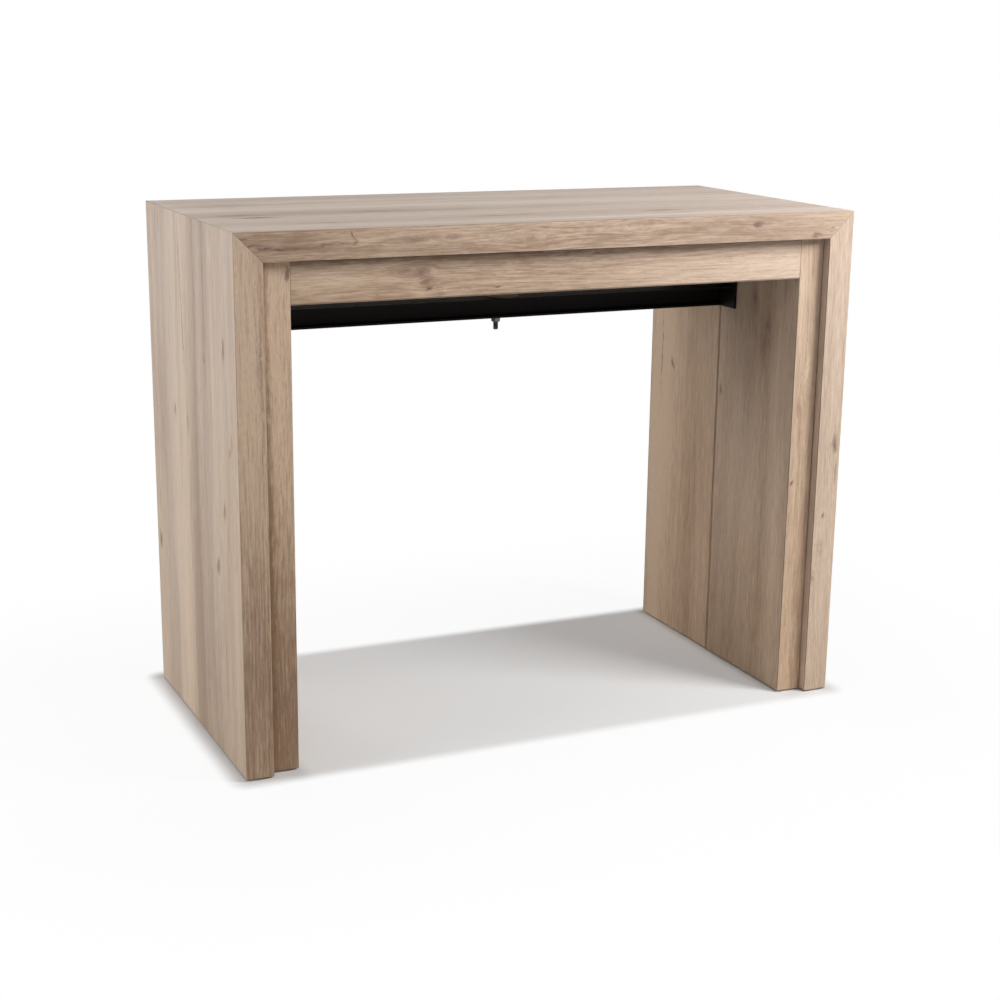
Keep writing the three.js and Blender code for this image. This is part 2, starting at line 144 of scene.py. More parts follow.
class StageSettings(bpy.types.PropertyGroup):
    """Lamps and background."""

    left_power: power_setting("Left", "Power of the left soft box", 42)
    front_power: power_setting("Front", "Power of the soft box in front", 24)
    near_power: power_setting("Near", "Power of the lamp by the left end", 2.4)
    high_power: power_setting("High", "Power of the lamp by the right end", 29)
    rear_power: power_setting("Rear", "Power of the soft box behind", 18)
    ambient: FloatProperty(
        name="Ambient", description="Strength of the light from all round", default=0.03
    )
    floor: colour_setting("Floor", "Colour of the floor", 226, 226, 226)


# Node trees

def arithmetic(operation, swapped=False):
    """A method that adds a Math node for an operator, its terms swapped if the number stands first."""
    def method(self, other):
        terms = (other, self) if swapped else (self, other)
        return self.nodes.math(operation, *terms)
    return method


class Value:
    """What a node's socket gives. Arithmetic on it adds Math nodes."""

    def __init__(self, nodes, socket):
        self.nodes = nodes
        self.socket = socket

    def __neg__(self):
        return self * -1.0

    __add__ = arithmetic("ADD")
    __radd__ = arithmetic("ADD", True)
    __sub__ = arithmetic("SUBTRACT")
    __rsub__ = arithmetic("SUBTRACT", True)
    __mul__ = arithmetic("MULTIPLY")
    __rmul__ = arithmetic("MULTIPLY", True)
    __truediv__ = arithmetic("DIVIDE")
    __pow__ = arithmetic("POWER")


class Nodes:
    """A node tree, made by expressions on its sockets."""

    def __init__(self, tree):
        self.tree = tree

    def node(self, kind, sockets=None, output=0, **settings):
        """Adds a node: first its settings, then its sockets. A list gives one socket several links."""
        made = self.tree.nodes.new(kind)
        for key, value in settings.items():
            setattr(made, key, value)
        for key, value in (sockets or {}).items():
            for part in value if isinstance(value, list) else [value]:
                if isinstance(part, Value):
                    self.tree.links.new(part.socket, made.inputs[key])
                else:
                    made.inputs[key].default_value = part
        return Value(self, made.outputs[output])

    def math(self, operation, *terms):
        return self.node("ShaderNodeMath", dict(enumerate(terms)), operation=operation)

    def clamp(self, value):
        return self.node("ShaderNodeClamp", {"Value": value})

    def rise(self, value, low, high):
        """Rises smoothly from 0 at low to 1 at high, and falls if high is the lower one."""
        sockets = {"Value": value, "From Min": low, "From Max": high}
        return self.node("ShaderNodeMapRange", sockets, interpolation_type="SMOOTHSTEP")

    def join(self, x, y, z):
        return self.node("ShaderNodeCombineXYZ", {"X": x, "Y": y, "Z": z})

    def parts(self, vector):
        """The three numbers of a vector."""
        first = self.node("ShaderNodeSeparateXYZ", {"Vector": vector})
        return [Value(self, socket) for socket in first.socket.node.outputs]


class Shader(Nodes):
    """The node tree of one material or of the world."""

    def __init__(self, owner):
        owner.use_nodes = True
        super().__init__(owner.node_tree)
        self.tree.nodes.clear()

    def attribute(self, name, output):
        return self.node("ShaderNodeAttribute", output=output, attribute_name=name)

    def place(self):
        """The point's place in the frame."""
        return self.node("ShaderNodeTexCoord", output="Object")

    def noise(self, place, scale=1.0, detail=2.0, roughness=0.5):
        sockets = {"Vector": place, "Scale": scale, "Detail": detail, "Roughness": roughness}
        return self.node("ShaderNodeTexNoise", sockets)

    def mix(self, share, first, second):
        """A colour between two."""
        sockets = {0: share, 6: as_colour(first), 7: as_colour(second)}
        return self.node("ShaderNodeMix", sockets, output=2, data_type="RGBA")

    def vector(self, operation, first, second, output=0):
        return self.node("ShaderNodeVectorMath", {0: first, 1: second}, output, operation=operation)

    def scaled(self, vector, factor):
        """A colour or vector times a number."""
        return self.node("ShaderNodeVectorMath", {0: vector, "Scale": factor}, operation="SCALE")

    def bump(self, height, strength, distance):
        sockets = {"Height": height, "Strength": strength, "Distance": distance}
        return self.node("ShaderNodeBump", sockets)

    def surface(self, shader):
        """Ends the tree with this shader on the surface."""
        output = self.tree.nodes.new("ShaderNodeOutputMaterial")
        self.tree.links.new(shader.socket, output.inputs["Surface"])


def tint(colour, factor, lift=0.0):
    """A colour made paler or deeper."""
    return [value * factor + lift for value in colour]


def as_colour(value):
    """A colour with the fourth number that a socket wants, or a link as it is."""
    return value if isinstance(value, Value) else (*value[:3], 1.0)


def finished(name, make, *args):
    """A new material whose surface is the principled shader with the sockets that make returns."""
    material = bpy.data.materials.new(name)
    shader = Shader(material)
    sockets = make(shader, *args)
    shader.surface(shader.node("ShaderNodeBsdfPrincipled", sockets))
    return material


def shared(name, make, *args):
    """The material of this name, made when it is first asked for."""
    return bpy.data.materials.get(name) or finished(name, make, *args)


# Oak

class Knot(NamedTuple):
    """A knot or figure on one face, or a patch of painted light and shadow on it. Place and sizes are along
    and across the grain, in metres.
    """

    along: float
    across: float
    length: float
    width: float
    dark: float
    rings: float = 0.0
    figure_and_painted_light: float = 0.0


class Face(NamedTuple):
    """How one face of a board is cut from the log."""

    pith: float
    tone: float
    knots: tuple = ()


SHEET_STEP = 3.7
"""Between the third grain coordinates of two faces, which then share no pattern."""

GRAIN_PUSH, PUSH_FALL = 0.7, 0.3
# Painted light colour: WARM and COOL tint the wood warmer low down and at the left end and cooler high up
# and at the right end. The shifts of whole boards are partly the boards' own tone and partly painted light:
# a cool sheen on the top and the left side, and warmer inner faces of the right legs, where little light
# falls.
WARM, COOL = (1.050, 1.0, 0.935), (0.960, 1.0, 1.085)
HUE_ALONG, HUE_UP, HUE_LEVEL = 0.30, 0.36, 0.35
HUE_SHIFT = {
    "outer_top": 0.12,
    "outer_side_left": 0.12,
    "outer_side_right": -0.08,
    "front_leg_right": -0.20,
    "rear_leg_right": -0.26,
}


def knots_at(shader, grain, knots):
    """The grain pushed aside by the knots, and what they add at a point: darkness, rings, and figure and
    painted light.
    """
    sums = (0.0, 0.0, 0.0)
    for number, knot in knots:
        away = shader.vector("SUBTRACT", grain, (knot.along, knot.across, number * SHEET_STEP))
        share = shader.vector("MULTIPLY", away, (1 / knot.length, 1 / knot.width, 1.0))
        square = shader.vector("DOT_PRODUCT", share, share, output=1)
        near = shader.math("EXPONENT", -square)
        sums = shader.vector("ADD", shader.scaled((knot.dark, knot.rings, knot.figure_and_painted_light), near), sums)
        if knot.dark:
            reach = shader.math("EXPONENT", square * -PUSH_FALL)
            aside = shader.scaled(shader.vector("MULTIPLY", away, (0.0, GRAIN_PUSH, 0.0)), reach)
            grain = shader.vector("SUBTRACT", grain, aside)
    return grain, shader.parts(sums)


# Noises drawn out along the grain: how fast each changes along and across, what sets it apart from the
# others, and its detail and roughness where they aren't 2 and 0.5.
NOISES = {
    "ragged along": (70.0, 150.0, 8.8), "ragged across": (70.0, 150.0, 19.3),
    "sway": (1.3, 5.0, 0.0), "waver": (5.0, 24.0, 2.3), "depth": (1.9, 1.0, 4.1),
    "ring drift": (0.7, 22.0, 6.6), "ring ripple": (20.0, 90.0, 36.2), "ringed": (2.6, 14.0, 28.9),
    "lively": (0.8, 9.0, 33.1), "broad": (0.45, 10.0, 3.1), "stave": (0.22, 7.0, 12.9, 1.0),
    "middle": (1.5, 42.0, 9.4, 3.0, 0.6), "mottle": (9.0, 75.0, 45.8),
    "vein": (2.2, 95.0, 24.4, 2.0, 0.6), "gleam": (2.6, 80.0, 40.3), "dash": (34.0, 330.0, 51.2),
    "fibre": (10.0, 700.0, 14.2, 3.0), "fleck": (110.0, 720.0, 21.7, 1.0),
    "crack": (0.9, 30.0, 17.3, 3.0, 0.6), "cracked": (6.0, 8.0, 57.7), "hue": (0.9, 15.0, 63.5),
}


def oak(shader, wood, knots, cool):
    grain = shader.attribute("grain", "Vector")
    along, across, sheet = shader.parts(grain)
    tone = shader.attribute("tone", "Fac")
    edge = shader.clamp(tone)
    rim = shader.clamp(tone - 1.0)

    def drawn_out(name, place):
        """A noise of the table, from -0.5 to 0.5."""
        per_along, per_across, apart, *texture = NOISES[name]
        point = shader.join(along * per_along, place * per_across, sheet + apart)
        return shader.noise(point, 1.0, *texture) - 0.5

    def band(name, low, high):
        """0 where a noise of the table is at low, and 1 where it is at high."""
        return shader.rise(drawn_out(name, bent), low, high)

    ragged = shader.join(
        drawn_out("ragged along", across) * 0.024, drawn_out("ragged across", across) * 0.010, 0.0
    )
    aside, (heart, swirl, figure_and_painted_light) = knots_at(shader, shader.vector("ADD", grain, ragged), knots)

    bent = shader.parts(shader.vector("SUBTRACT", aside, ragged))[1]
    bent = bent + drawn_out("sway", across) * 0.040
    bent = bent + drawn_out("waver", bent) * 0.005

    # Growth rings, as on a sheet sliced at some depth beside the pith
    depth = drawn_out("depth", across * 0.0) * 0.09 + 0.04
    uneven = drawn_out("ring drift", bent) * 3.0 + drawn_out("ring ripple", bent) * 0.9
    rings = shader.math("SQRT", bent * bent + depth * depth) * wood.rings_per_metre + swirl + uneven
    age = shader.math("FRACT", rings)
    late = age ** 3.0 * (1.0 - age) * 9.5

    # Stripes, from the widest to the finest
    lively = band("lively", -0.12, 0.14)
    middle = drawn_out("middle", bent)
    dash = drawn_out("dash", bent)
    fibre = drawn_out("fibre", bent)
    fleck = drawn_out("fleck", bent)
    crack = shader.math("ABSOLUTE", drawn_out("crack", bent))
    hairline = shader.rise(crack, 0.010, 0.0) * band("cracked", 0.06, 0.14)
    light = drawn_out("broad", bent) * (1.8 - edge * 0.4)
    light = light + (band("stave", -0.012, 0.012) - 0.5) * 0.20
    light = light + middle * (lively * (0.9 - edge * 0.2) + 0.8 - edge * 0.45)
    light = light + drawn_out("mottle", bent) * 0.42
    light = light - band("vein", 0.08, 0.24) * (lively * 0.20 + 0.10) + band("gleam", 0.08, 0.24) * 0.15
    light = light - late * band("ringed", -0.02, 0.14) * (edge * 0.08 + 0.06) * 1.5 - hairline * 0.30
    light = light + dash * (edge * 0.45 + 0.95) + fibre * (edge * 0.65 + 0.85)

    # Colour, warmer or cooler from place to place. Painted light: the edges' figure is calmer towards the
    # brighter right end, and the wood is warmer low down and cooler high up and to the right.
    x, _, z = shader.parts(shader.place())
    light = shader.clamp(light * (1.0 - edge * shader.rise(x, -0.1, 0.45) * 0.25) + figure_and_painted_light + 0.66)
    face = shader.mix(light, wood.face_deep, wood.face_pale)
    colour = shader.mix(edge, face, shader.mix(light, wood.edge_deep, wood.edge_pale))
    hue = drawn_out("hue", bent) * 0.6 + x * HUE_ALONG + (z - HUE_LEVEL) * HUE_UP + cool
    colour = shader.vector("MULTIPLY", colour, shader.mix(shader.rise(hue, -0.4, 0.4), WARM, COOL))

    pore = shader.rise(fleck, 0.10, 0.22) * (edge * 0.12 + 0.05)
    spark = shader.rise(fleck, -0.08, -0.22) * (edge * 0.08 + 0.03)
    colour = shader.scaled(colour, 1.0 - pore + spark)
    torn = shader.clamp(heart * (dash * 2.6 + middle * 2.0 + 1.0))
    colour = shader.mix(shader.rise(torn, 0.0, 0.45) * 0.72, colour, wood.stain)
    colour = shader.mix(shader.rise(torn, 0.3, 1.0) * 0.85, colour, wood.knot)
    # The edge-band strips are darker: partly the dark glue line of the band and partly painted shadow that
    # takes the highlight off the rounded arrises. Negative values of the figure and painted light darken the
    # colour further, for the darker figure and for the painted shadow in the recess beside the left leg,
    # under the top's front edge and at the foot of the left legs.
    colour = shader.scaled(colour, (1.0 - rim * 0.55) * (shader.math("MINIMUM", figure_and_painted_light, 0.0) * 0.4 + 1.0))

    height = fibre * 0.8 - shader.rise(fleck, 0.08, 0.24) - late * 0.2 - hairline * 0.5
    return {
        "Base Color": colour,
        "Roughness": fibre * 0.20 + pore * 0.5 + 0.72,
        "Specular IOR Level": 0.30,
        "Normal": shader.bump(height, 0.30, 0.25 * MM),
    }


def glue(shader, wood):
    grain = shader.noise(shader.place(), 260.0)
    return {"Base Color": shader.mix(grain, tint(wood.knot, 0.30), wood.knot), "Roughness": 0.8}


def pressed_board(shader, wood):
    """Chips in the boards' cut ends."""
    place = shader.place()
    chips = shader.noise(place, 420.0, 3.0, 0.6)
    dust = shader.noise(place, 1900.0)
    light = shader.clamp(chips * 1.6 + dust * 0.4 - 0.5)
    return {
        "Base Color": shader.mix(light, wood.edge_deep, wood.edge_pale),
        "Roughness": 0.82 + chips * 0.1,
        "Normal": shader.bump(chips, 0.6, 0.4 * MM),
    }


# Other finishes

def beech(shader, fittings):
    x, y, z = shader.parts(shader.place())
    along_y = shader.noise(shader.join(x * 160.0, y * 5.0, z * 160.0), 1.0, 3.0, 0.55)
    flecks = shader.noise(shader.join(x * 900.0, y * 60.0, z * 900.0), 1.0, 1.0)
    ray = shader.rise(flecks, 0.60, 0.70)
    colour = shader.mix(shader.rise(along_y, 0.3, 0.7), tint(fittings.beech, 0.72), fittings.beech)
    return {
        "Base Color": shader.mix(ray * 0.35, colour, tint(fittings.beech, 0.6)),
        "Roughness": 0.6 + along_y * 0.15,
        "Normal": shader.bump(along_y - ray * 0.3, 0.25, 0.2 * MM),
    }


def powder_coat(shader, fittings):
    place = shader.place()
    peel = shader.noise(place, 780.0)
    cloud = shader.noise(place, 24.0)
    dust = shader.rise(shader.noise(place, 60.0, 3.0, 0.7), 0.55, 0.75)
    rubbed = tint(fittings.steel, 1.8, 0.0012)
    return {
        "Base Color": shader.mix(cloud * 0.3 + dust * 0.25, fittings.steel, rubbed),
        "Roughness": 0.5 + cloud * 0.12 + dust * 0.08,
        "Specular IOR Level": 0.10,
        "Normal": shader.bump(peel, 0.16, 0.3 * MM),
    }


def anodised(shader, fittings):
    """Lines of the extrusion along Y, and paler tracks where the guides slide."""
    x, y, z = shader.parts(shader.place())
    lines = shader.noise(shader.join(x * 1500.0, y * 3.0, z * 1500.0))
    tracks = shader.noise(shader.join(x * 180.0, y * 1.2, z * 180.0), 1.0, 3.0, 0.6)
    worn = tint(fittings.aluminium, 2.4, 0.01)
    return {
        "Base Color": shader.mix(shader.rise(tracks, 0.5, 0.75) * 0.5, fittings.aluminium, worn),
        "Metallic": 0.75 + tracks * 0.2,
        "Roughness": 0.27 + lines * 0.2,
        "Normal": shader.bump(lines, 0.12, 0.1 * MM),
    }


def zinc_plate(shader, fittings):
    place = shader.place()
    bloom = shader.noise(place, 240.0, 3.0, 0.6)
    stain = shader.noise(place, 90.0)
    yellowed = [value * share for value, share in zip(fittings.zinc, (0.92, 0.84, 0.66))]
    return {
        "Base Color": shader.mix(shader.rise(stain, 0.45, 0.8), fittings.zinc, yellowed),
        "Metallic": 1.0,
        "Roughness": 0.34 + bloom * 0.22,
        "Normal": shader.bump(bloom, 0.1, 0.1 * MM),
    }


def moulded(shader, plain):
    place = shader.place()
    spark = shader.noise(place, 1600.0, 2.0, 0.6)
    cloud = shader.noise(place, 70.0)
    return {
        "Base Color": shader.mix(cloud * 0.6, plain, tint(plain, 1.5, 0.003)),
        "Roughness": 0.5 + spark * 0.2,
        "Normal": shader.bump(spark, 0.25, 0.15 * MM),
    }


# Boards

class Board(NamedTuple):
    """A board: its node and body, its three directions as axis numbers, and its ends.

    The long face of a mitred board is the one on the outer side, 1 for the higher and -1 for the lower.
    """

    node: str
    body: str
    along: int
    across: int
    thick: int
    outer: int = 1
    low_mitre: float = 0.0
    high_mitre: float = 0.0

    def across_face(self, face):
        """The axis across the grain of one of the board's faces or edges."""
        return self.across if "face" in face else self.thick


def table_boards():
    yield Board("outer_top", FIXED, X, Y, Z, 1, 1.0, 1.0)
    for name, sign in SIDES:
        yield Board(f"outer_side_{name}", FIXED, Z, Y, X, sign, 0.0, 1.0)
        yield Board(f"rear_leg_{name}", FIXED, Z, Y, X)
        yield Board(f"front_leg_{name}", FRONT, Z, Y, X)
    yield Board("rear_apron", FIXED, X, Z, Y)
    yield Board("front_apron", FRONT, X, Z, Y)


BOARDS = {board.node: board for board in table_boards()}
ARRIS_STEPS = 3
MERGE_DISTANCE = 1e-6
RIM_TONE = 2.0


def knots_mm(*rows):
    """Knots from rows of their numbers, with places and sizes in millimetres."""
    return tuple(Knot(*(number * MM for number in row[:4]), *row[4:]) for row in rows)


# The faces that the photograph shows. Low and high are along the board's thickness or width. Each row is
# a knot's place along and across, its length and width, then its darkness, rings, and the figure and
# painted light that it adds: rows with only this last number are broad figure of the wood or patches of
# painted light and shadow, as marked below.
FACES = {
    ("outer_top", "high face"): Face(-0.31, 0.0, knots_mm(
        (-395, -60, 34, 9, 0.58), (-412, -26, 44, 11, 0.50), (206, -132, 30, 8, 0.56),
        (-60, -130, 60, 8, 0.36), (-200, -20, 60, 10, 0.34), (-330, -150, 50, 8, 0.30),
        (-400, 120, 70, 40, 0, 0, -0.30),
    )),
    ("outer_top", "low edge"): Face(0.742, 1.0, knots_mm(
        (-466, 750, 9, 3.0, 0.50), (-452, 743, 9, 2.6, 0.60), (-438, 738.5, 9, 2.4, 0.65),
        (-415, 736.5, 16, 2.2, 0.70), (-385, 736.5, 18, 2.2, 0.65), (-358, 739, 12, 2.0, 0.50),
        (-332, 741, 18, 1.8, 0.45), (-315.5, 752, 2.0, 6, 0.65), (-311, 743, 3.5, 3.5, 0.55),
        (-410, 744, 60, 12, 0, 0, -0.28), (-229, 742, 20, 5, 0.34, 1.6), (-172, 744, 15, 5, 0.26, 1.2),
        (-105, 742, 34, 9, 0, 3.0), (-58, 741, 22, 8, 0.10, 2.0), (2, 746, 40, 10, 0, 2.5),
        (112, 749, 20, 8, 0.10, 2.0), (311.4, 745, 6, 3.5, 0.65, 0.8), (415.3, 727, 8, 3.5, 0.60, 0.6),
        # The last row darkens the right end of this edge, where more light falls: painted shadow.
        (443, 736, 6, 3, 0.25), (330, 742, 170, 60, 0, 0, -0.26),
    )),
    ("outer_side_left", "low face"): Face(0.42, 0.0, knots_mm(
        (740, 161, 18, 2.4, 0.40), (700, 48.5, 22, 1.8, 0.55), (664, 46, 20, 1.5, 0.50),
        (636, 43.5, 16, 1.4, 0.40), (602, 40, 34, 2.2, 0.55), (556, 36, 26, 1.8, 0.40),
        (596, -170, 16, 6, 0.38), (571, -73, 5, 4, 0.42), (469, 96, 10, 6, 0.38),
        (464, 24, 16, 3.5, 0.42), (474, -200, 12, 5, 0.50), (461, -190, 9, 5, 0.40),
        (371, -157, 14, 6, 0.45), (283, -119, 10, 8, 0.62), (237, 211, 12, 8, 0.55),
        (420, 45, 900, 42, 0, 0, 0.20), (470, 165, 150, 45, 0, 0, -0.20),
        # The row at 20 mm along and the last row make the side darker near the floor and paler near the top:
        # painted shadow and painted light.
        (250, -20, 260, 12, 0, 0, -0.16), (20, -60, 240, 260, 0, 0, -0.26),
        (640, 0, 200, 300, 0, 0, 0.10),
    )),
    ("outer_side_left", "low edge"): Face(-0.50, 1.0, knots_mm(
        # The last row darkens the foot of this front edge: painted shadow.
        (560, -446, 170, 1.6, 0.25), (600, -451, 90, 1.2, 0.20), (110, -462, 250, 60, 0, 0, -0.56),
    )),
    ("outer_side_right", "low edge"): Face(0.505, 0.5, knots_mm(
        (403, 470, 12, 5, 0.72, 1.0), (391, 461, 8, 3, 0.30), (353, 474, 18, 3, 0.28),
        (290, 457, 5, 2.5, 0.55), (235, 452, 24, 8, 0.20, 1.0), (190, 444, 8, 3.5, 0.50),
        # These two rows make this front edge paler along its height: painted light from the lamp by the
        # right end.
        (420, 460, 480, 120, 0, 0, 0.36), (60, 460, 260, 120, 0, 0, 0.26),
    )),
    ("front_apron", "low face"): Face(0.671, 0.85, knots_mm(
        (-239, 699, 10, 4, 0.40), (-213, 697, 15, 8, 0.40), (-207, 686, 8, 7, 0.50),
        (-204.6, 679, 4, 3.5, 0.80), (-172, 682, 16, 2.5, 0.25, 1.0), (-162, 672, 14, 2.5, 0.22, 1.0),
        (-96.7, 671.4, 5, 1.2, 1.0), (-65, 694, 30, 9, 0, 2.0), (0, 701, 44, 12, 0, 2.4),
        # These two rows make the apron paler towards both ends: partly its figure and partly painted light.
        (-350, 688, 110, 22, 0, 0, 0.34), (330, 690, 160, 40, 0, 0, 0.30),
        # These two rows darken the apron just under the top's front edge, along its left part and middle:
        # painted shadow.
        (-330, 721, 320, 8, 0, 0, -0.80), (110, 722, 260, 7, 0, 0, -0.36),
    )),
    ("front_leg_left", "low edge"): Face(-0.36, 1.0, knots_mm(
        # The second row darkens the foot of this edge and the third makes it paler up high: painted shadow
        # and painted light.
        (702, -403.4, 8, 3.5, 0.80), (100, -420, 230, 60, 0, 0, -0.58), (560, -420, 260, 60, 0, 0, 0.16),
        # This row darkens a strip beside the left side panel: painted shadow in the recess.
        (380, -440, 480, 10, 0, 0, -1.10),
    )),
    ("front_leg_right", "low edge"): Face(0.47, 0.8, knots_mm(
        (478, 426, 26, 9, 0.12, 2.0), (455, 414, 14, 5, 0.18, 1.0), (342, 403.6, 4, 2.5, 0.60),
    )),
    ("front_leg_right", "low face"): Face(-0.20, 0.5, knots_mm(
        (612, -94, 26, 10, 0.40), (572, -136, 34, 9, 0.38), (538, -128, 24, 7, 0.30),
        # The last two rows darken this inner face up high in its front half and at its foot: painted shadow.
        (452, -4, 12, 5, 0.40, 1.0), (540, -100, 160, 60, 0, 0, -0.36), (60, -110, 160, 160, 0, 0, -0.30),
    )),
    ("rear_leg_right", "low face"): Face(0.33, 0.5, knots_mm(
        (470, 156.6, 6, 4, 0.62), (462, 152, 5, 3, 0.50), (480, 192, 70, 1.5, 0.40),
        # The last row makes this inner face paler: painted light.
        (500, 40, 70, 22, 0, 3.0), (480, 170, 360, 70, 0, 0, 0.45),
    )),
}
FACE_NAMES = ("low face", "high face", "low edge", "high edge")


def face_number(node, face):
    return list(BOARDS).index(node) * len(FACE_NAMES) + FACE_NAMES.index(face)


def face_of(node, face):
    """How a face is cut. One that the photograph doesn't show is drawn by its own seed."""
    if (node, face) in FACES:
        return FACES[node, face]
    drawn = random.Random(face_number(node, face))
    low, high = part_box(node)
    along, across = BOARDS[node].along, BOARDS[node].across_face(face)
    pith = drawn.uniform(low[across], high[across]) + drawn.choice((-0.2, 0.0, 0.2))
    reaches = (
        (low[along], high[along]), (low[across], high[across]), (8 * MM, 26 * MM), (3 * MM, 7 * MM),
        (0.35, 0.7), (0.0, 1.2),
    )
    tone, count = (0.15, 3) if "face" in face else (1.0, 1)
    return Face(pith, tone, tuple(Knot(*(drawn.uniform(*reach) for reach in reaches)) for _ in range(count)))


def corner_points(middle_b, middle_c, radius, quarter):
    """The rounded corner of a section, as points about its middle, counter-clockwise."""
    for step in range(ARRIS_STEPS + 1):
        angle = (quarter + step / ARRIS_STEPS) * math.pi / 2
        yield middle_b + radius * math.cos(angle), middle_c + radius * math.sin(angle)


def joint_points(middle_b, face_c, inward, run, wood):
    """The glue joint beside an edge band: a notch in a wide face, in the direction run."""
    half = run * wood.joint_width / 2
    yield middle_b - half, face_c
    yield middle_b, face_c + inward * wood.joint_depth
    yield middle_b + half, face_c


def board_section(low_b, high_b, low_c, high_c, wood):
    """A board's section: points, each with the name of the strip that starts there."""
    radius, band = wood.edge_radius, wood.band_thickness
    points = []

    def add(places, strips):
        points.extend(zip(places, strips))

    def corner(b, c, quarter, before, after):
        half = (ARRIS_STEPS + 1) // 2
        add(corner_points(b, c, radius, quarter), [before] * half + [after] * (ARRIS_STEPS + 1 - half))

    def wide(face, c, inward, start, end, run):
        add(joint_points(start + run * band, c, inward, run, wood), ["joint", "joint", face])
        add(joint_points(end - run * band, c, inward, run, wood), ["joint", "joint", "rim " + face])

    inner_b, outer_b = low_b + radius, high_b - radius
    inner_c, outer_c = low_c + radius, high_c - radius
    corner(inner_b, inner_c, 2, "low edge", "rim low face")
    wide("low face", low_c, 1, low_b, high_b, 1)
    corner(outer_b, inner_c, 3, "rim low face", "high edge")
    corner(outer_b, outer_c, 0, "high edge", "rim high face")
    wide("high face", high_c, -1, high_b, low_b, -1)
    corner(inner_b, outer_c, 1, "rim high face", "low edge")
    return points


def end_places(section, board, box, end, wood):
    """The rings of points at one end of a board, from the end face inwards, as along, b and c."""
    low, high = box
    limit = (low if end < 0 else high)[board.along]
    slope = board.low_mitre if end < 0 else board.high_mitre
    if slope:
        face = (high if board.outer > 0 else low)[board.thick]
        return [[(limit - end * slope * abs(c - face), b, c) for (b, c), _ in section]]
    rings = []
    for step in range(ARRIS_STEPS + 1):
        angle = step / ARRIS_STEPS * math.pi / 2
        inset = wood.edge_radius * (1 - math.sin(angle))
        along = limit - end * wood.edge_radius * (1 - math.cos(angle))
        span_b = (low[board.across] + inset, high[board.across] - inset)
        span_c = (low[board.thick] + inset, high[board.thick] - inset)
        rings.append([
            (along, min(max(b, span_b[0]), span_b[1]), min(max(c, span_c[0]), span_c[1]))
            for (b, c), _ in section
        ])
    return rings


def sweep(mesh, rings):
    """Adds the faces between closed rings of points, each with its number along the ring."""
    for ring, following in zip(rings, rings[1:]):
        for index, point in enumerate(ring):
            after = (index + 1) % len(ring)
            yield index, mesh.faces.new((point, ring[after], following[after], following[index]))


def board_mesh(board, wood):
    """Sweeps the section along the board and keeps each face's grain in two attributes."""
    low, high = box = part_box(board.node)
    section = board_section(low[board.across], high[board.across], low[board.thick], high[board.thick], wood)
    rings = end_places(section, board, box, -1, wood) + end_places(section, board, box, 1, wood)[::-1]
    mesh = bmesh.new()
    grain = mesh.loops.layers.float_vector.new("grain")
    tone = mesh.loops.layers.float.new("tone")

    def placed(along, b, c):
        place = Vector((0, 0, 0))
        place[board.along], place[board.across], place[board.thick] = along, b, c
        return mesh.verts.new(place)

    rings = [[placed(*point) for point in ring] for ring in rings]
    for index, face in sweep(mesh, rings):
        strip = section[index][1]
        if strip == "joint":
            face.material_index = 1
            continue
        name = strip.removeprefix("rim ")
        cut = face_of(board.node, name)
        number = face_number(board.node, name)
        across = board.across_face(name)
        for loop in face.loops:
            place = loop.vert.co
            loop[grain] = (place[board.along], place[across] - cut.pith, number * SHEET_STEP)
            loop[tone] = RIM_TONE if strip.startswith("rim") else cut.tone
    for ring in (rings[0], rings[-1]):
        mesh.faces.new(ring).material_index = 2
    bmesh.ops.remove_doubles(mesh, verts=mesh.verts, dist=MERGE_DISTANCE)
    bmesh.ops.recalc_face_normals(mesh, faces=mesh.faces)
    return mesh


def added(name, data):
    """A new object of this data in the scene, at the origin."""
    made = bpy.data.objects.new(name, data)
    bpy.context.scene.collection.objects.link(made)
    return made


def settled(name, mesh):
    """The mesh data of a mesh under construction."""
    data = bpy.data.meshes.new(name)
    mesh.to_mesh(data)
    mesh.free()
    return data


def keep(data, name, body, materials, replaced=()):
    """Makes a piece of a mesh, that rides on a body and stands for CAD nodes."""
    data.name = name
    data.materials.clear()
    for material in materials:
        data.materials.append(material)
    piece = added(name, data)
    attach(piece, body)
    if replaced:
        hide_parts(*replaced)


def make_board(node, wood, joint, cut_end):
    """Makes one board, with an oak of its own that holds the knots, figure and painted light of its faces.
    """
    board = BOARDS[node]
    knots = []
    for face in FACE_NAMES:
        cut = face_of(node, face)
        number = face_number(node, face)
        knots += [(number, knot._replace(across=knot.across - cut.pith)) for knot in cut.knots]
    skin = finished(f"oak_{node}", oak, wood, knots, HUE_SHIFT.get(node, 0.0))
    data = settled(node, board_mesh(board, wood))
    keep(data, f"{node}_board", board.body, [skin, joint, cut_end], [node])


# CAD nodes

def middle_and_size(node):
    """The middle and the size of a node's box."""
    low, high = (Vector(corner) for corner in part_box(node))
    return (low + high) / 2, high - low


def dress(prefix, material):
    """Gives a material to the CAD nodes whose names begin so."""
    found = [node for name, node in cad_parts.items() if name.startswith(prefix)]
    if not found:
        raise RuntimeError(f"the frame has no node whose name begins with {prefix}")
    for node in found:
        node.data.materials.clear()
        node.data.materials.append(material)


# Turned pieces

def turned(profile, segments, place):
    """Turns a profile of radius and height pairs round a vertical axis through the place."""
    mesh = bmesh.new()
    turns = [2 * math.pi * step / segments for step in range(segments)]
    rings = []
    for radius, height in profile:
        outs = [Vector((radius * math.cos(turn), radius * math.sin(turn), height)) for turn in turns]
        rings.append([mesh.verts.new(place + out) for out in outs])
    for _, face in sweep(mesh, rings):
        face.smooth = True
    bmesh.ops.remove_doubles(mesh, verts=mesh.verts, dist=MERGE_DISTANCE)
    bmesh.ops.recalc_face_normals(mesh, faces=mesh.faces)
    return mesh


# Pieces grown by Geometry Nodes

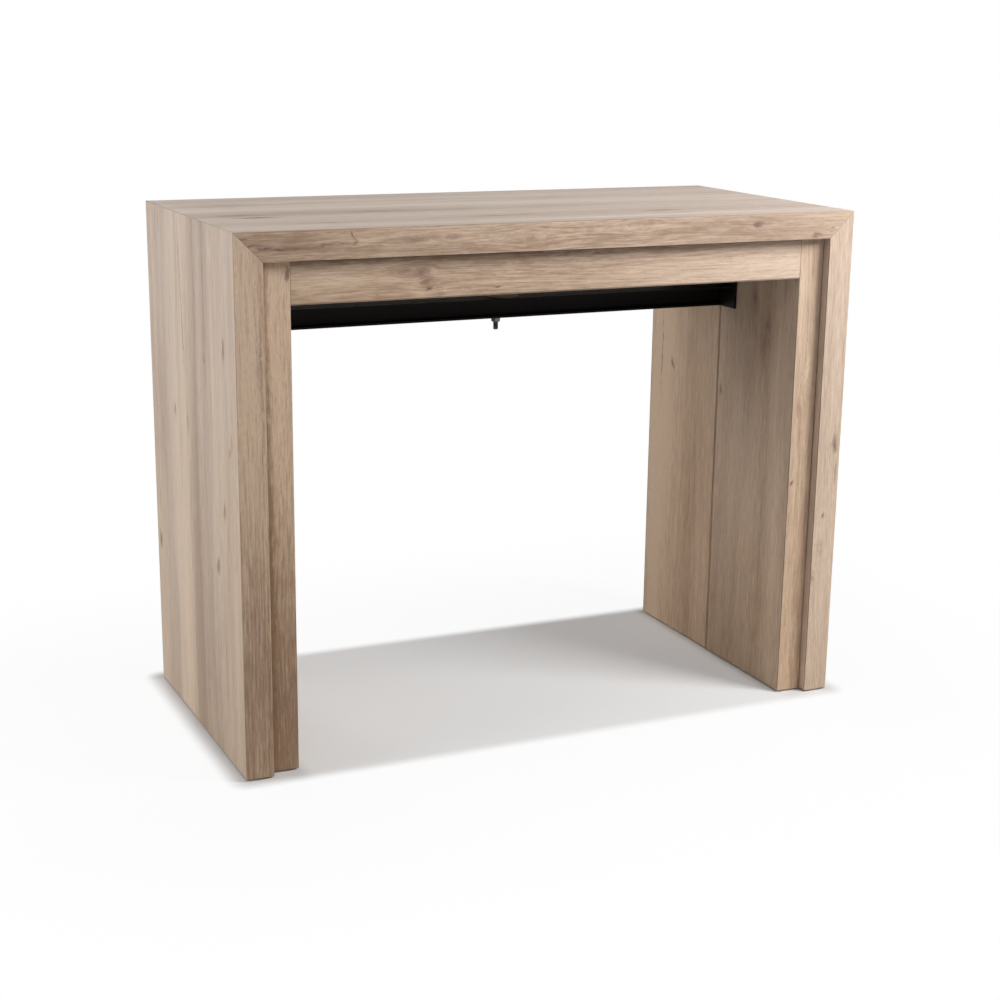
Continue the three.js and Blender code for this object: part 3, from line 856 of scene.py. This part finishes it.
class Shape(Nodes):
    """A tree that grows a piece from a mesh of points or of edges."""

    def __init__(self, name):
        super().__init__(bpy.data.node_groups.new(name, "GeometryNodeTree"))
        for side in ("INPUT", "OUTPUT"):
            self.tree.interface.new_socket("Geometry", in_out=side, socket_type="NodeSocketGeometry")
        self.entry = self.tree.nodes.new("NodeGroupInput")
        self.given = Value(self, self.entry.outputs["Geometry"])
        self.sizes = {}

    def size(self, name, value):
        """A named input, and the value that the modifier will give it."""
        kind = "NodeSocketInt" if isinstance(value, int) else "NodeSocketFloat"
        made = self.tree.interface.new_socket(name, in_out="INPUT", socket_type=kind)
        self.sizes[made.identifier] = value
        return Value(self, self.entry.outputs[name])

    def place(self):
        return self.node("GeometryNodeInputPosition")

    def moved(self, mesh, x, y, z):
        """The mesh with its points put in new places."""
        return self.node("GeometryNodeSetPosition", {"Geometry": mesh, "Position": self.join(x, y, z)})

    def shaded(self, mesh, crease=0.6):
        """Smooth, but for the edges that turn by more than the crease."""
        angle = self.node("GeometryNodeInputMeshEdgeAngle")
        for domain, smooth in (("FACE", True), ("EDGE", self.math("LESS_THAN", angle, crease))):
            sockets = {"Geometry": mesh, "Shade Smooth": smooth}
            mesh = self.node("GeometryNodeSetShadeSmooth", sockets, domain=domain)
        return mesh

    def planted(self, piece, seed=None):
        """The piece on each point, its Z axis along the point's aim. A seed turns each one about it."""
        aim = self.node("GeometryNodeInputNamedAttribute", {"Name": "aim"}, data_type="FLOAT_VECTOR")
        turn = self.node("FunctionNodeAlignRotationToVector", {"Vector": aim}, axis="Z")
        if seed:
            sockets = {2: 0.0, 3: math.pi, "Seed": seed}
            angle = self.node("FunctionNodeRandomValue", sockets, output=1, data_type="FLOAT")
            spin = self.node("FunctionNodeAxisAngleToRotation", {"Axis": (0, 0, 1), "Angle": angle})
            sockets = {"Rotation": turn, "Rotate By": spin}
            turn = self.node("FunctionNodeRotateRotation", sockets, rotation_space="LOCAL")
        sockets = {"Points": self.given, "Instance": piece, "Rotation": turn}
        return self.node("GeometryNodeInstanceOnPoints", sockets)

    def end(self, geometry, material):
        real = self.node("GeometryNodeRealizeInstances", {"Geometry": geometry})
        dressed = self.node("GeometryNodeSetMaterial", {"Geometry": real, "Material": material})
        leave = self.tree.nodes.new("NodeGroupOutput")
        self.tree.links.new(dressed.socket, leave.inputs["Geometry"])


def grown(shape, points, edges=(), aims=()):
    """The plain mesh that the tree makes of these points or edges."""
    data = bpy.data.meshes.new(shape.tree.name)
    data.from_pydata(points, edges, [])
    if aims:
        data.attributes.new("aim", "FLOAT_VECTOR", "POINT")
        data.attributes["aim"].data.foreach_set("vector", [number for aim in aims for number in aim])
    source = added(shape.tree.name, data)
    modifier = source.modifiers.new("shape", "NODES")
    modifier.node_group = shape.tree
    for identifier, value in shape.sizes.items():
        modifier[identifier] = value
    result = bpy.data.meshes.new_from_object(source.evaluated_get(bpy.context.evaluated_depsgraph_get()))
    source.modifiers.remove(modifier)
    bpy.data.objects.remove(source)
    if not result.polygons:
        raise RuntimeError(f"the tree {shape.tree.name} made no faces")
    if "aim" in result.attributes:
        result.attributes.remove(result.attributes["aim"])
    return result


SHOULDER_POWER, RISE_POWER = -0.45, 0.6
LEAST_RADIUS = 1e-4


def domed(shape, radius, height):
    """A pan with rounded shoulders, made from a sphere: its foot is flat, and it rises along Z."""
    sphere = shape.node("GeometryNodeMeshUVSphere", {"Segments": 28, "Rings": 20, "Radius": 1.0})
    x, y, z = shape.parts(shape.place())
    out = shape.math("MAXIMUM", shape.math("SQRT", x * x + y * y), LEAST_RADIUS)
    wider = out ** SHOULDER_POWER * radius
    rise = shape.math("MAXIMUM", z, 0.0) ** RISE_POWER * height
    return shape.moved(sphere, x * wider, y * wider, rise)


# A pan head's height and the depth of its recess, as shares of its diameter, and the two sides of a
# blade of the recess, as shares of its radius
HEAD_HEIGHT, RECESS_DEPTH = 0.32, 0.2
BLADE = (1.15, 0.26)
BLADE_TIP, BLADE_TAPER = 0.55, 0.9


def cross_recess(shape, head, radius, height, depth):
    """The head with the tapered cross of its driver cut out."""
    blades = []
    for x_share, y_share in (BLADE, BLADE[::-1]):
        size = shape.join(radius * x_share, radius * y_share, depth * 2.0)
        blades.append(shape.node("GeometryNodeMeshCube", {"Size": size}))
    cross = shape.node("GeometryNodeMeshBoolean", {1: blades}, operation="UNION")
    x, y, z = shape.parts(shape.place())
    taper = shape.rise(z, -depth, depth) * BLADE_TAPER + BLADE_TIP
    cutter = shape.moved(cross, x * taper, y * taper, z + height)
    return shape.node("GeometryNodeMeshBoolean", {0: head, 1: cutter}, operation="DIFFERENCE")


def pan_screws(material, fittings):
    """Pan heads, each on its point, with their crosses turned at random."""
    shape = Shape("pan_screws")
    radius = shape.size("Head radius", fittings.screw_head / 2)
    height = shape.size("Head height", fittings.screw_head * HEAD_HEIGHT)
    depth = shape.size("Recess depth", fittings.screw_head * RECESS_DEPTH)
    seed = shape.size("Seed", fittings.screw_turn)
    head = cross_recess(shape, domed(shape, radius, height), radius, height, depth)
    shape.end(shape.planted(shape.shaded(head), seed), material)
    return shape


HOLLOW_RADIUS, HOLLOW_DEPTH = 3.4 * MM, 0.4


def glide_feet(material, radius, height):
    """Moulded pads with a rounded rim and a shallow hollow where the nail goes in."""
    shape = Shape("glide_feet")
    radius = shape.size("Radius", radius)
    height = shape.size("Height", height)
    hollow = shape.size("Hollow radius", HOLLOW_RADIUS)
    pad = domed(shape, radius, height)
    x, y, z = shape.parts(shape.place())
    out = shape.math("SQRT", x * x + y * y)
    sunk = shape.rise(out, hollow * 1.2, hollow * 0.8) * height * HOLLOW_DEPTH
    pad = shape.moved(pad, x, y, z - shape.math("MINIMUM", sunk, z))
    shape.end(shape.planted(shape.shaded(pad)), material)
    return shape


# A thread's depth as a share of its pitch, the slope of its flanks and the width of its crest, and its
# turned tip: its length, and its depth as a share of the rod's radius
THREAD_DEPTH, FLANK_SLOPE, CREST = 0.55, 1.3, 0.15
THREAD_TIP, TIP_DEPTH = 1.1 * MM, 0.28


def stud_thread(material, radius, length, pitch):
    """A rod with a thread cut round it, its tip turned off."""
    shape = Shape("stud_thread")
    radius = shape.size("Radius", radius)
    pitch = shape.size("Pitch", pitch)
    tip = shape.size("Tip", THREAD_TIP)
    length = shape.size("Length", length)
    sockets = {"Vertices": 32, "Side Segments": 150, "Radius": radius, "Depth": length}
    rod = shape.node("GeometryNodeMeshCylinder", sockets)
    x, y, z = shape.parts(shape.place())
    height = z + length * 0.5
    turn = shape.math("ARCTAN2", y, x) / (2 * math.pi)
    share = shape.math("FRACT", height / pitch - turn)
    groove = shape.clamp(shape.math("ABSOLUTE", share * 2.0 - 1.0) * FLANK_SLOPE - CREST)
    cut = groove * pitch * THREAD_DEPTH
    end = shape.clamp(1.0 - height / tip) * radius * TIP_DEPTH
    narrower = 1.0 - shape.math("MAXIMUM", cut, end) / radius
    rod = shape.moved(rod, x * narrower, y * narrower, height)
    shape.end(shape.planted(shape.shaded(rod, 0.9)), material)
    return shape


# Where a nut's chamfers start, as shares of its width over the flats, and how fast they widen
NUT_FOOT, NUT_FOOT_SLOPE = 0.40, 1.05
NUT_TOP, NUT_TOP_SLOPE = 0.49, 1.7


def chamfered_nut(material, across, height):
    """A hexagon nut whose corners are turned off, more at its outer end."""
    shape = Shape("chamfered_nut")
    across = shape.size("Across flats", across)
    height = shape.size("Height", height)
    sockets = {"Vertices": 96, "Side Segments": 40, "Radius": 1.0, "Depth": height}
    rod = shape.node("GeometryNodeMeshCylinder", sockets)
    x, y, z = shape.parts(shape.place())
    sixth = shape.math("ARCTAN2", y, x) / (math.pi / 3)
    off = (shape.math("FRACT", sixth) - 0.5) * (math.pi / 3)
    flat = across * 0.5 / shape.math("COSINE", off)
    above = z + height * 0.5
    lower = across * NUT_FOOT + above * NUT_FOOT_SLOPE
    upper = across * NUT_TOP + (height - above) * NUT_TOP_SLOPE
    radius = shape.math("MINIMUM", flat, shape.math("MINIMUM", lower, upper))
    nut = shape.moved(rod, x * radius, y * radius, above)
    shape.end(shape.planted(shape.shaded(nut, 0.9)), material)
    return shape


BEAD_RADIUS, LEAST_BEAD = 1.9 * MM, 0.85
RIPPLE_LENGTH, RIPPLE_STEPS, RIPPLE_DEPTH = 1.5 * MM, 6.0, 0.2
WANDER_SCALE, WANDER = 300.0, 0.3
END_POWER = 0.18


def weld_beads(material):
    """Rippled beads along the edges that are given."""
    shape = Shape("weld_beads")
    radius = shape.size("Bead radius", BEAD_RADIUS)
    ripple = shape.size("Ripple length", RIPPLE_LENGTH)
    curve = shape.node("GeometryNodeMeshToCurve", {"Mesh": shape.given})
    sockets = {"Curve": curve, "Length": ripple / RIPPLE_STEPS}
    curve = shape.node("GeometryNodeResampleCurve", sockets, mode="LENGTH")
    share = shape.node("GeometryNodeSplineParameter")
    run = shape.node("GeometryNodeSplineParameter", output=1)
    wave = shape.math("ABSOLUTE", shape.math("SINE", run / ripple * math.pi)) * RIPPLE_DEPTH + LEAST_BEAD
    wander = shape.node("ShaderNodeTexNoise", {"Scale": WANDER_SCALE, "Detail": 1.0}) * WANDER + LEAST_BEAD
    closing = (share * (1.0 - share) * 4.0) ** END_POWER
    ring = shape.node("GeometryNodeCurvePrimitiveCircle", {"Resolution": 10, "Radius": 1.0})
    scale = radius * wave * wander * closing
    sockets = {"Curve": curve, "Profile Curve": ring, "Scale": scale, "Fill Caps": True}
    bead = shape.node("GeometryNodeCurveToMesh", sockets)
    shape.end(shape.shaded(bead, 1.0), material)
    return shape


# Operators

class TableOperator(bpy.types.Operator):
    """What the operators that make pieces share"""

    bl_options = {"REGISTER", "UNDO"}

    @property
    def wood(self):
        return bpy.context.scene.table_wood

    @property
    def fittings(self):
        return bpy.context.scene.table_fittings

    def make_boards(self, prefix):
        joint = shared("glue_joint", glue, self.wood)
        cut_end = shared("pressed_board", pressed_board, self.wood)
        for node in BOARDS:
            if node.startswith(prefix):
                make_board(node, self.wood, joint, cut_end)


class TABLE_OT_outer_frame(TableOperator):
    """Makes the top and the side panels, which meet in mitres"""

    bl_idname = "table.outer_frame"
    bl_label = "Outer frame"

    def execute(self, context):
        self.make_boards("outer_")
        return {"FINISHED"}


class TABLE_OT_rear_frame(TableOperator):
    """Makes the fixed half legs and the apron between them"""

    bl_idname = "table.rear_frame"
    bl_label = "Rear frame"

    def execute(self, context):
        self.make_boards("rear_")
        return {"FINISHED"}


class TABLE_OT_front_frame(TableOperator):
    """Makes the half legs that draw out and the apron between them"""

    bl_idname = "table.front_frame"
    bl_label = "Front frame"

    def execute(self, context):
        self.make_boards("front_")
        return {"FINISHED"}


class TABLE_OT_joinery(TableOperator):
    """Finishes the runners under the top, the dowels and the tongues in the mitres"""

    bl_idname = "table.joinery"
    bl_label = "Runners and joinery"

    def execute(self, context):
        wood = finished("beech", beech, self.fittings)
        for prefix in ("runner_", "mitre_spline_", "rear_dowel_", "front_dowel_"):
            dress(prefix, wood)
        return {"FINISHED"}


class TABLE_OT_guides(TableOperator):
    """Finishes the telescopic guides"""

    bl_idname = "table.guides"
    bl_label = "Telescopic guides"

    def execute(self, context):
        dress("guide_", finished("anodised_aluminium", anodised, self.fittings))
        return {"FINISHED"}


class TABLE_OT_cross_bar(TableOperator):
    """Finishes the folded cross bar and its hangers, and welds them together"""

    bl_idname = "table.cross_bar"
    bl_label = "Cross bar"

    def execute(self, context):
        coat = finished("powder_coat", powder_coat, self.fittings)
        dress("hanger_", coat)
        dress("cross_bar", coat)
        points = [Vector(point) for line in weld_lines() for point in line]
        edges = [(index, index + 1) for index in range(0, len(points), 2)]
        keep(grown(weld_beads(coat), points, edges), "cross_bar_welds", CARRIER, [coat])
        return {"FINISHED"}


def weld_lines():
    """Where the cross bar's web and top flange meet the hangers: two ends for each bead."""
    sheet = SHEET_THICKNESS
    low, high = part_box("cross_bar")
    hanger_low, hanger_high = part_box("hanger_right")
    web = hanger_high[Y] - sheet
    for x in (low[X], high[X]):
        yield (x, web, low[Z] + sheet), (x, web, high[Z] - 2 * sheet)
        yield (x, hanger_low[Y] + sheet, high[Z] - sheet), (x, web - 2 * sheet, high[Z] - sheet)
        yield (x, hanger_low[Y] + sheet, high[Z]), (x, web - sheet, high[Z])


PAD_SEGMENTS = 96
PAD_PROFILE = (
    (0, 0), (0.985, 0), (1, 0.2), (1, 0.55), (0.99, 0.8), (0.965, 0.96), (0.94, 1), (0.885, 1),
    (0.875, 0.88), (0.855, 0.84), (0.835, 0.88), (0.825, 1), (0.10, 1), (0.07, 0.7), (0, 0.6),
)
"""From the middle of the foot outwards, up and back to the middle, in shares of radius and height."""


class TABLE_OT_leg_fixing(TableOperator):
    """Makes the grey pad on the cross bar, and the stud and nut that take a centre leg"""

    bl_idname = "table.leg_fixing"
    bl_label = "Pad, stud and nut"

    def execute(self, context):
        zinc = shared("zinc_plate", zinc_plate, self.fittings)
        for node, make in (
            ("leg_stud", lambda size: stud_thread(zinc, size[X] / 2, size[Z], self.fittings.thread_pitch)),
            ("leg_nut", lambda size: chamfered_nut(zinc, size[Y], size[Z])),
        ):
            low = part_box(node)[0]
            middle, size = middle_and_size(node)
            data = grown(make(size), [(middle[X], middle[Y], low[Z])], aims=[(0, 0, 1)])
            keep(data, f"{node}_turned", CARRIER, [zinc], [node])
        self.make_pad()
        return {"FINISHED"}

    def make_pad(self):
        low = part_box("rest_pad")[0]
        middle, size = middle_and_size("rest_pad")
        profile = [(across * size[X] / 2, up * size[Z]) for across, up in PAD_PROFILE]
        mesh = turned(profile, PAD_SEGMENTS, Vector((middle[X], middle[Y], low[Z])))
        plastic = finished("pad_moulding", moulded, self.fittings.pad)
        data = settled("rest_pad", mesh)
        keep(data, "rest_pad_disc", CARRIER, [plastic], ["rest_pad"])


class TABLE_OT_screws(TableOperator):
    """Drives the screws of the runners, the fixed guides and the hangers"""

    bl_idname = "table.screws"
    bl_label = "Screws"

    def execute(self, context):
        zinc = shared("zinc_plate", zinc_plate, self.fittings)
        shape = pan_screws(zinc, self.fittings)
        for name, body, places in (
            ("runner_screws", FIXED, runner_screws()),
            ("hanger_screws", CARRIER, hanger_screws()),
        ):
            points, aims = zip(*places)
            keep(grown(shape, points, aims=aims), name, body, [zinc])
        return {"FINISHED"}


RUNNER_HEAD_DEPTH = 24 * MM
RUNNER_SCREW_SHARES = (-0.38, 0, 0.38)
GUIDE_SCREW_SHARES = (-0.44, -0.19, 0.19, 0.44)
TAB_HOLE_SHARES = (-0.27, 0.27)
TAB_HOLE_INSET = 5 * MM


def runner_screws():
    """Heads in the runners' counterbores, and heads on their inner faces that hold the guides."""
    for side, sign in SIDES:
        low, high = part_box(f"runner_{side}")
        middle, size = middle_and_size(f"runner_{side}")
        for share in RUNNER_SCREW_SHARES:
            yield (middle[X], middle[Y] + share * size[Y], low[Z] + RUNNER_HEAD_DEPTH), (0, 0, -1)
        inner = low[X] if sign > 0 else high[X]
        for share in GUIDE_SCREW_SHARES:
            yield (inner, middle[Y] + share * size[Y], middle[Z]), (-sign, 0, 0)


def hanger_screws():
    """Heads under the hangers' tabs."""
    for side, sign in SIDES:
        low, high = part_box(f"hanger_{side}")
        middle, size = middle_and_size(f"hanger_{side}")
        x = (low[X] if sign > 0 else high[X]) + sign * TAB_HOLE_INSET
        for share in TAB_HOLE_SHARES:
            yield (x, middle[Y] + share * size[Y], high[Z] - SHEET_THICKNESS), (0, 0, -1)


class TABLE_OT_feet(TableOperator):
    """Makes the pads under the boards"""

    bl_idname = "table.feet"
    bl_label = "Feet"

    def execute(self, context):
        moulding = finished("foot_moulding", moulded, self.fittings.foot)
        feet = [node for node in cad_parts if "_foot_" in node]
        _, size = middle_and_size(feet[0])
        shape = glide_feet(moulding, size[X] / 2, size[Z])
        for name, body, front in (("fixed_feet", FIXED, False), ("front_feet", FRONT, True)):
            nodes = [node for node in feet if node.startswith("front_") == front]
            points = [middle_and_size(node)[0] + Vector((0, 0, size[Z] / 2)) for node in nodes]
            data = grown(shape, points, aims=[(0, 0, -1)] * len(points))
            keep(data, name, body, [moulding], nodes)
        return {"FINISHED"}


# Stage

IMAGE_PIXELS = 1000
FOCAL_PIXELS = 1817.509
CENTRE_PIXELS = (505.782, 512.954)
CAMERA_PLACE = (-1.141748, -2.506618, 1.022475)
CAMERA_YAW, CAMERA_PITCH, CAMERA_ROLL = 24.824, -15.036, 0.757
AIM = Vector((0, 0, 0.4))


def camera_turn():
    """The camera's axes as a matrix: right, up and backwards."""
    yaw, pitch, roll = (math.radians(a) for a in (CAMERA_YAW, CAMERA_PITCH, CAMERA_ROLL))
    forward = Vector((math.sin(yaw) * math.cos(pitch), math.cos(yaw) * math.cos(pitch), math.sin(pitch)))
    level = Vector((math.cos(yaw), -math.sin(yaw), 0))
    upright = level.cross(forward)
    right = level * math.cos(roll) + upright * math.sin(roll)
    up = upright * math.cos(roll) - level * math.sin(roll)
    return Matrix((right, up, -forward)).transposed()


def make_camera():
    data = bpy.data.cameras.new("camera")
    data.lens = data.sensor_width * FOCAL_PIXELS / IMAGE_PIXELS
    data.shift_x = (IMAGE_PIXELS / 2 - CENTRE_PIXELS[0]) / IMAGE_PIXELS
    data.shift_y = (CENTRE_PIXELS[1] - IMAGE_PIXELS / 2) / IMAGE_PIXELS
    camera = added("camera", data)
    camera.matrix_world = Matrix.Translation(CAMERA_PLACE) @ camera_turn().to_4x4()
    bpy.context.scene.camera = camera


LAMPS = {
    "left": ((-3.0, 0.2, 1.2), (2.0, 1.6)),
    "front": ((0.0, -4.2, 3.2), (1.8, 1.2)),
    "near": ((-0.9, -0.9, 1.8), (0.6, 0.6)),
    "high": ((1.1, -1.0, 1.5), (0.6, 0.6)),
    "rear": ((-0.6, 2.0, 1.5), (1.2, 1.0)),
}
"""Each lamp's place, and its width and height."""


def soft_box(name, place, size, power):
    data = bpy.data.lights.new(name, "AREA")
    data.shape = "RECTANGLE"
    data.size, data.size_y = size
    data.energy = power
    lamp = added(name, data)
    lamp.location = place
    lamp.rotation_mode = "QUATERNION"
    lamp.rotation_quaternion = (AIM - Vector(place)).to_track_quat("-Z", "Y")
    lamp.visible_camera = False


def white_rays(shader):
    """1 for the rays that see the background themselves, straight or in metal, and 0 for the rest."""
    path = shader.tree.nodes.new("ShaderNodeLightPath")
    rays = [Value(shader, path.outputs[f"Is {kind} Ray"]) for kind in ("Camera", "Glossy", "Transmission")]
    return shader.math("MINIMUM", rays[0] + rays[1] + rays[2], 1.0)


def make_world(stage):
    world = bpy.data.worlds.new("studio")
    bpy.context.scene.world = world
    shader = Shader(world)
    strength = white_rays(shader) * (1.0 - stage.ambient) + stage.ambient
    light = shader.node("ShaderNodeBackground", {"Color": (1, 1, 1, 1), "Strength": strength})
    output = shader.tree.nodes.new("ShaderNodeOutputWorld")
    shader.tree.links.new(light.socket, output.inputs["Surface"])


FLOOR_HALF = 12.0
FLOOR_DROP = 0.2 * MM
FOOTPRINT_HALF = (480 * MM, 230 * MM)
LEG_INNER = 400 * MM
NEAR_FADE, NEAR_WHITE = 0.034, 0.93
FAR_FADE = 0.6
UNDER_WHITE = 0.16


def floor_finish(stage):
    """A pale floor that keeps the shadow near the table and fades into the white background."""
    material = bpy.data.materials.new("floor")
    shader = Shader(material)
    x, y, _ = shader.parts(shader.place())
    outside = [
        shader.math("MAXIMUM", shader.math("ABSOLUTE", place) - half, 0.0)
        for place, half in zip((x, y), FOOTPRINT_HALF)
    ]
    distance = shader.math("SQRT", outside[0] * outside[0] + outside[1] * outside[1])
    near = shader.rise(distance, 0.0, NEAR_FADE) * NEAR_WHITE
    far = shader.rise(distance, NEAR_FADE, FAR_FADE) * (1.0 - NEAR_WHITE)
    under = shader.rise(shader.math("ABSOLUTE", x), LEG_INNER, LEG_INNER * 0.95) * UNDER_WHITE
    under = under * shader.rise(distance, NEAR_FADE, 0.0)
    matt = shader.node("ShaderNodeBsdfDiffuse", {"Color": as_colour(stage.floor)})
    white = shader.node("ShaderNodeEmission", {"Color": (1, 1, 1, 1), "Strength": 1.0})
    seen = white_rays(shader) * (near + far + under)
    shader.surface(shader.node("ShaderNodeMixShader", {0: seen, 1: matt, 2: white}))
    return material


def make_floor(stage):
    mesh = bmesh.new()
    corners = [(-1, -1), (1, -1), (1, 1), (-1, 1)]
    mesh.faces.new([mesh.verts.new((a * FLOOR_HALF, b * FLOOR_HALF, -FLOOR_DROP)) for a, b in corners])
    data = settled("floor", mesh)
    data.materials.append(floor_finish(stage))
    floor = added("floor", data)
    floor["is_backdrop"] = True


class TABLE_OT_stage(bpy.types.Operator):
    """Makes the floor, the lamps, the background and the camera"""

    bl_idname = "table.stage"
    bl_label = "Stage"

    def execute(self, context):
        stage = context.scene.table_stage
        make_camera()
        make_world(stage)
        make_floor(stage)
        for name, (place, size) in LAMPS.items():
            soft_box(name, place, size, getattr(stage, f"{name}_power"))
        context.scene.view_settings.view_transform = "Standard"
        return {"FINISHED"}


OPERATORS = (
    TABLE_OT_outer_frame,
    TABLE_OT_rear_frame,
    TABLE_OT_front_frame,
    TABLE_OT_joinery,
    TABLE_OT_guides,
    TABLE_OT_cross_bar,
    TABLE_OT_leg_fixing,
    TABLE_OT_screws,
    TABLE_OT_feet,
    TABLE_OT_stage,
)
SETTINGS = (
    ("table_wood", WoodSettings),
    ("table_fittings", FittingSettings),
    ("table_stage", StageSettings),
)


class TABLE_PT_pieces(bpy.types.Panel):
    """Lists the operators and their settings"""

    bl_idname = "TABLE_PT_pieces"
    bl_label = "Console table"
    bl_space_type = "VIEW_3D"
    bl_region_type = "UI"
    bl_category = "Table"

    def draw(self, context):
        for operator in OPERATORS:
            self.layout.operator(operator.bl_idname)
        for name, kind in SETTINGS:
            box = self.layout.box()
            for setting in kind.__annotations__:
                box.prop(getattr(context.scene, name), setting)


def register():
    for name, kind in SETTINGS:
        bpy.utils.register_class(kind)
        setattr(bpy.types.Scene, name, PointerProperty(type=kind))
    for kind in (*OPERATORS, TABLE_PT_pieces):
        bpy.utils.register_class(kind)


def unregister():
    for kind in reversed((*OPERATORS, TABLE_PT_pieces)):
        bpy.utils.unregister_class(kind)
    for name, kind in reversed(SETTINGS):
        delattr(bpy.types.Scene, name)
        bpy.utils.unregister_class(kind)


def write_sizes():
    """Sets the CAD box beside the visual model's box, in a table that is not kept."""
    boxes = {"cad": CAD_BOX, "visual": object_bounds()}
    {name: [list(corner) for corner in box] for name, box in boxes.items()}


def main():
    register()
    for kind in OPERATORS:
        run = getattr(bpy.ops.table, kind.bl_idname.removeprefix("table."))
        run()
    write_sizes()


if __name__ == "__main__":
    main()
